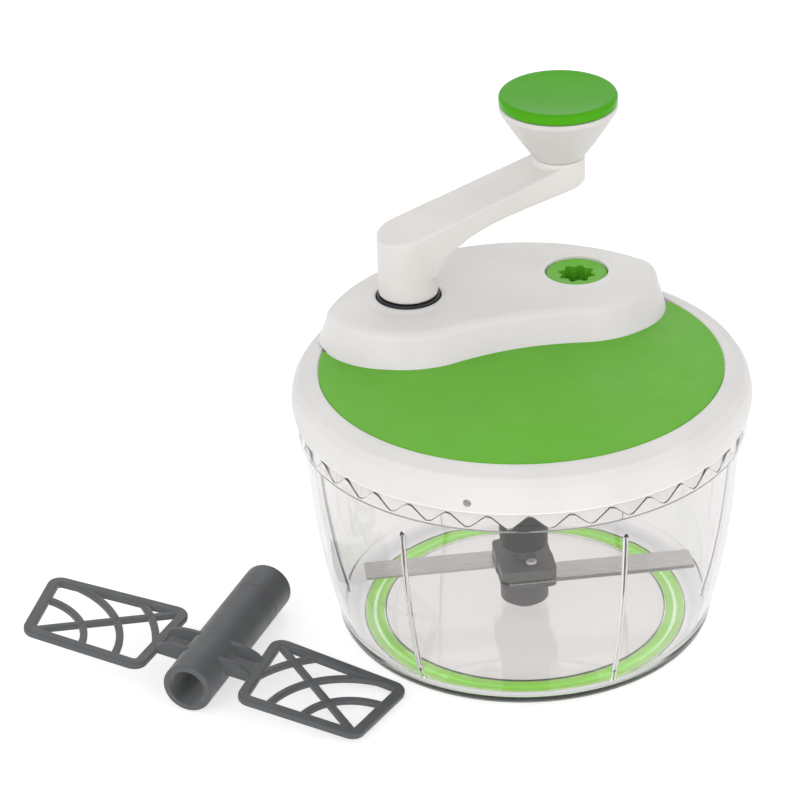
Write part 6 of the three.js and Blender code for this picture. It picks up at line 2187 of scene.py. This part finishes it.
class CHOPPER_OT_lid_ring(bpy.types.Operator):
    """Build the white ring with its deck and skirt"""

    bl_idname = "chopper.lid_ring"
    bl_label = "Lid ring"
    bl_options = {"REGISTER", "UNDO"}

    def execute(self, context):
        build_lid_shell()
        return {"FINISHED"}


class CHOPPER_OT_lid_cover(bpy.types.Operator):
    """Build the green cover of the lid"""

    bl_idname = "chopper.lid_cover"
    bl_label = "Lid cover"
    bl_options = {"REGISTER", "UNDO"}

    def execute(self, context):
        build_insert()
        return {"FINISHED"}


class CHOPPER_OT_housing(bpy.types.Operator):
    """Build the white cover over the gears"""

    bl_idname = "chopper.housing"
    bl_label = "Gear housing"
    bl_options = {"REGISTER", "UNDO"}

    def execute(self, context):
        build_housing()
        return {"FINISHED"}


class CHOPPER_OT_sockets(bpy.types.Operator):
    """Build the two drive sockets"""

    bl_idname = "chopper.sockets"
    bl_label = "Sockets"
    bl_options = {"REGISTER", "UNDO"}

    def execute(self, context):
        build_sockets()
        return {"FINISHED"}


class CHOPPER_OT_crank(bpy.types.Operator):
    """Build the white column and arm"""

    bl_idname = "chopper.crank"
    bl_label = "Crank"
    bl_options = {"REGISTER", "UNDO"}

    def execute(self, context):
        build_crank()
        return {"FINISHED"}


class CHOPPER_OT_knob(bpy.types.Operator):
    """Build the white cone and its green cap"""

    bl_idname = "chopper.knob"
    bl_label = "Knob"
    bl_options = {"REGISTER", "UNDO"}

    def execute(self, context):
        build_knob()
        return {"FINISHED"}


class CHOPPER_OT_paddle(bpy.types.Operator):
    """Build the spare paddle: tube, coupler and frames"""

    bl_idname = "chopper.paddle"
    bl_label = "Paddle"
    bl_options = {"REGISTER", "UNDO"}

    def execute(self, context):
        build_paddle_tube()
        build_coupler()
        build_frames()
        return {"FINISHED"}


class CHOPPER_OT_inner_works(bpy.types.Operator):
    """Finish the gears, axles, screws and plate inside"""

    bl_idname = "chopper.inner_works"
    bl_label = "Inner works"
    bl_options = {"REGISTER", "UNDO"}

    def execute(self, context):
        build_inner_works()
        return {"FINISHED"}


class CHOPPER_OT_stage(bpy.types.Operator):
    """Build the floor, the lights and the camera"""

    bl_idname = "chopper.stage"
    bl_label = "Stage"
    bl_options = {"REGISTER", "UNDO"}

    def execute(self, context):
        build_stage()
        return {"FINISHED"}


OPERATORS = (
    CHOPPER_OT_bowl,
    CHOPPER_OT_foot,
    CHOPPER_OT_cutter,
    CHOPPER_OT_lid_ring,
    CHOPPER_OT_lid_cover,
    CHOPPER_OT_housing,
    CHOPPER_OT_sockets,
    CHOPPER_OT_crank,
    CHOPPER_OT_knob,
    CHOPPER_OT_paddle,
    CHOPPER_OT_inner_works,
    CHOPPER_OT_stage,
)


class CHOPPER_PT_panel(bpy.types.Panel):
    """Lists the pieces of the chopper"""

    bl_idname = "CHOPPER_PT_panel"
    bl_label = "Crank food chopper"
    bl_space_type = "VIEW_3D"
    bl_region_type = "UI"
    bl_category = "Chopper"

    def draw(self, context):
        column = self.layout.column(align=True)
        for kind in OPERATORS:
            column.operator(kind.bl_idname, text=kind.bl_label)


CLASSES = (
    BowlSizes,
    FootSizes,
    CutterSizes,
    LidSizes,
    HousingSizes,
    CrankSizes,
    PaddleSizes,
    Finish,
    StageSettings,
    ChopperSettings,
    *OPERATORS,
    CHOPPER_PT_panel,
)


def register():
    """Registers the classes and the settings."""
    for kind in CLASSES:
        bpy.utils.register_class(kind)
    bpy.types.Scene.chopper = PointerProperty(type=ChopperSettings)


def unregister():
    """Takes the settings and the classes away again."""
    del bpy.types.Scene.chopper
    for kind in reversed(CLASSES):
        bpy.utils.unregister_class(kind)


def main():
    """Builds every piece and the stage."""
    register()
    for kind in OPERATORS:
        group, name = kind.bl_idname.split(".")
        getattr(getattr(bpy.ops, group), name)()
    bpy.context.view_layer.update()


if __name__ == "__main__":
    main()
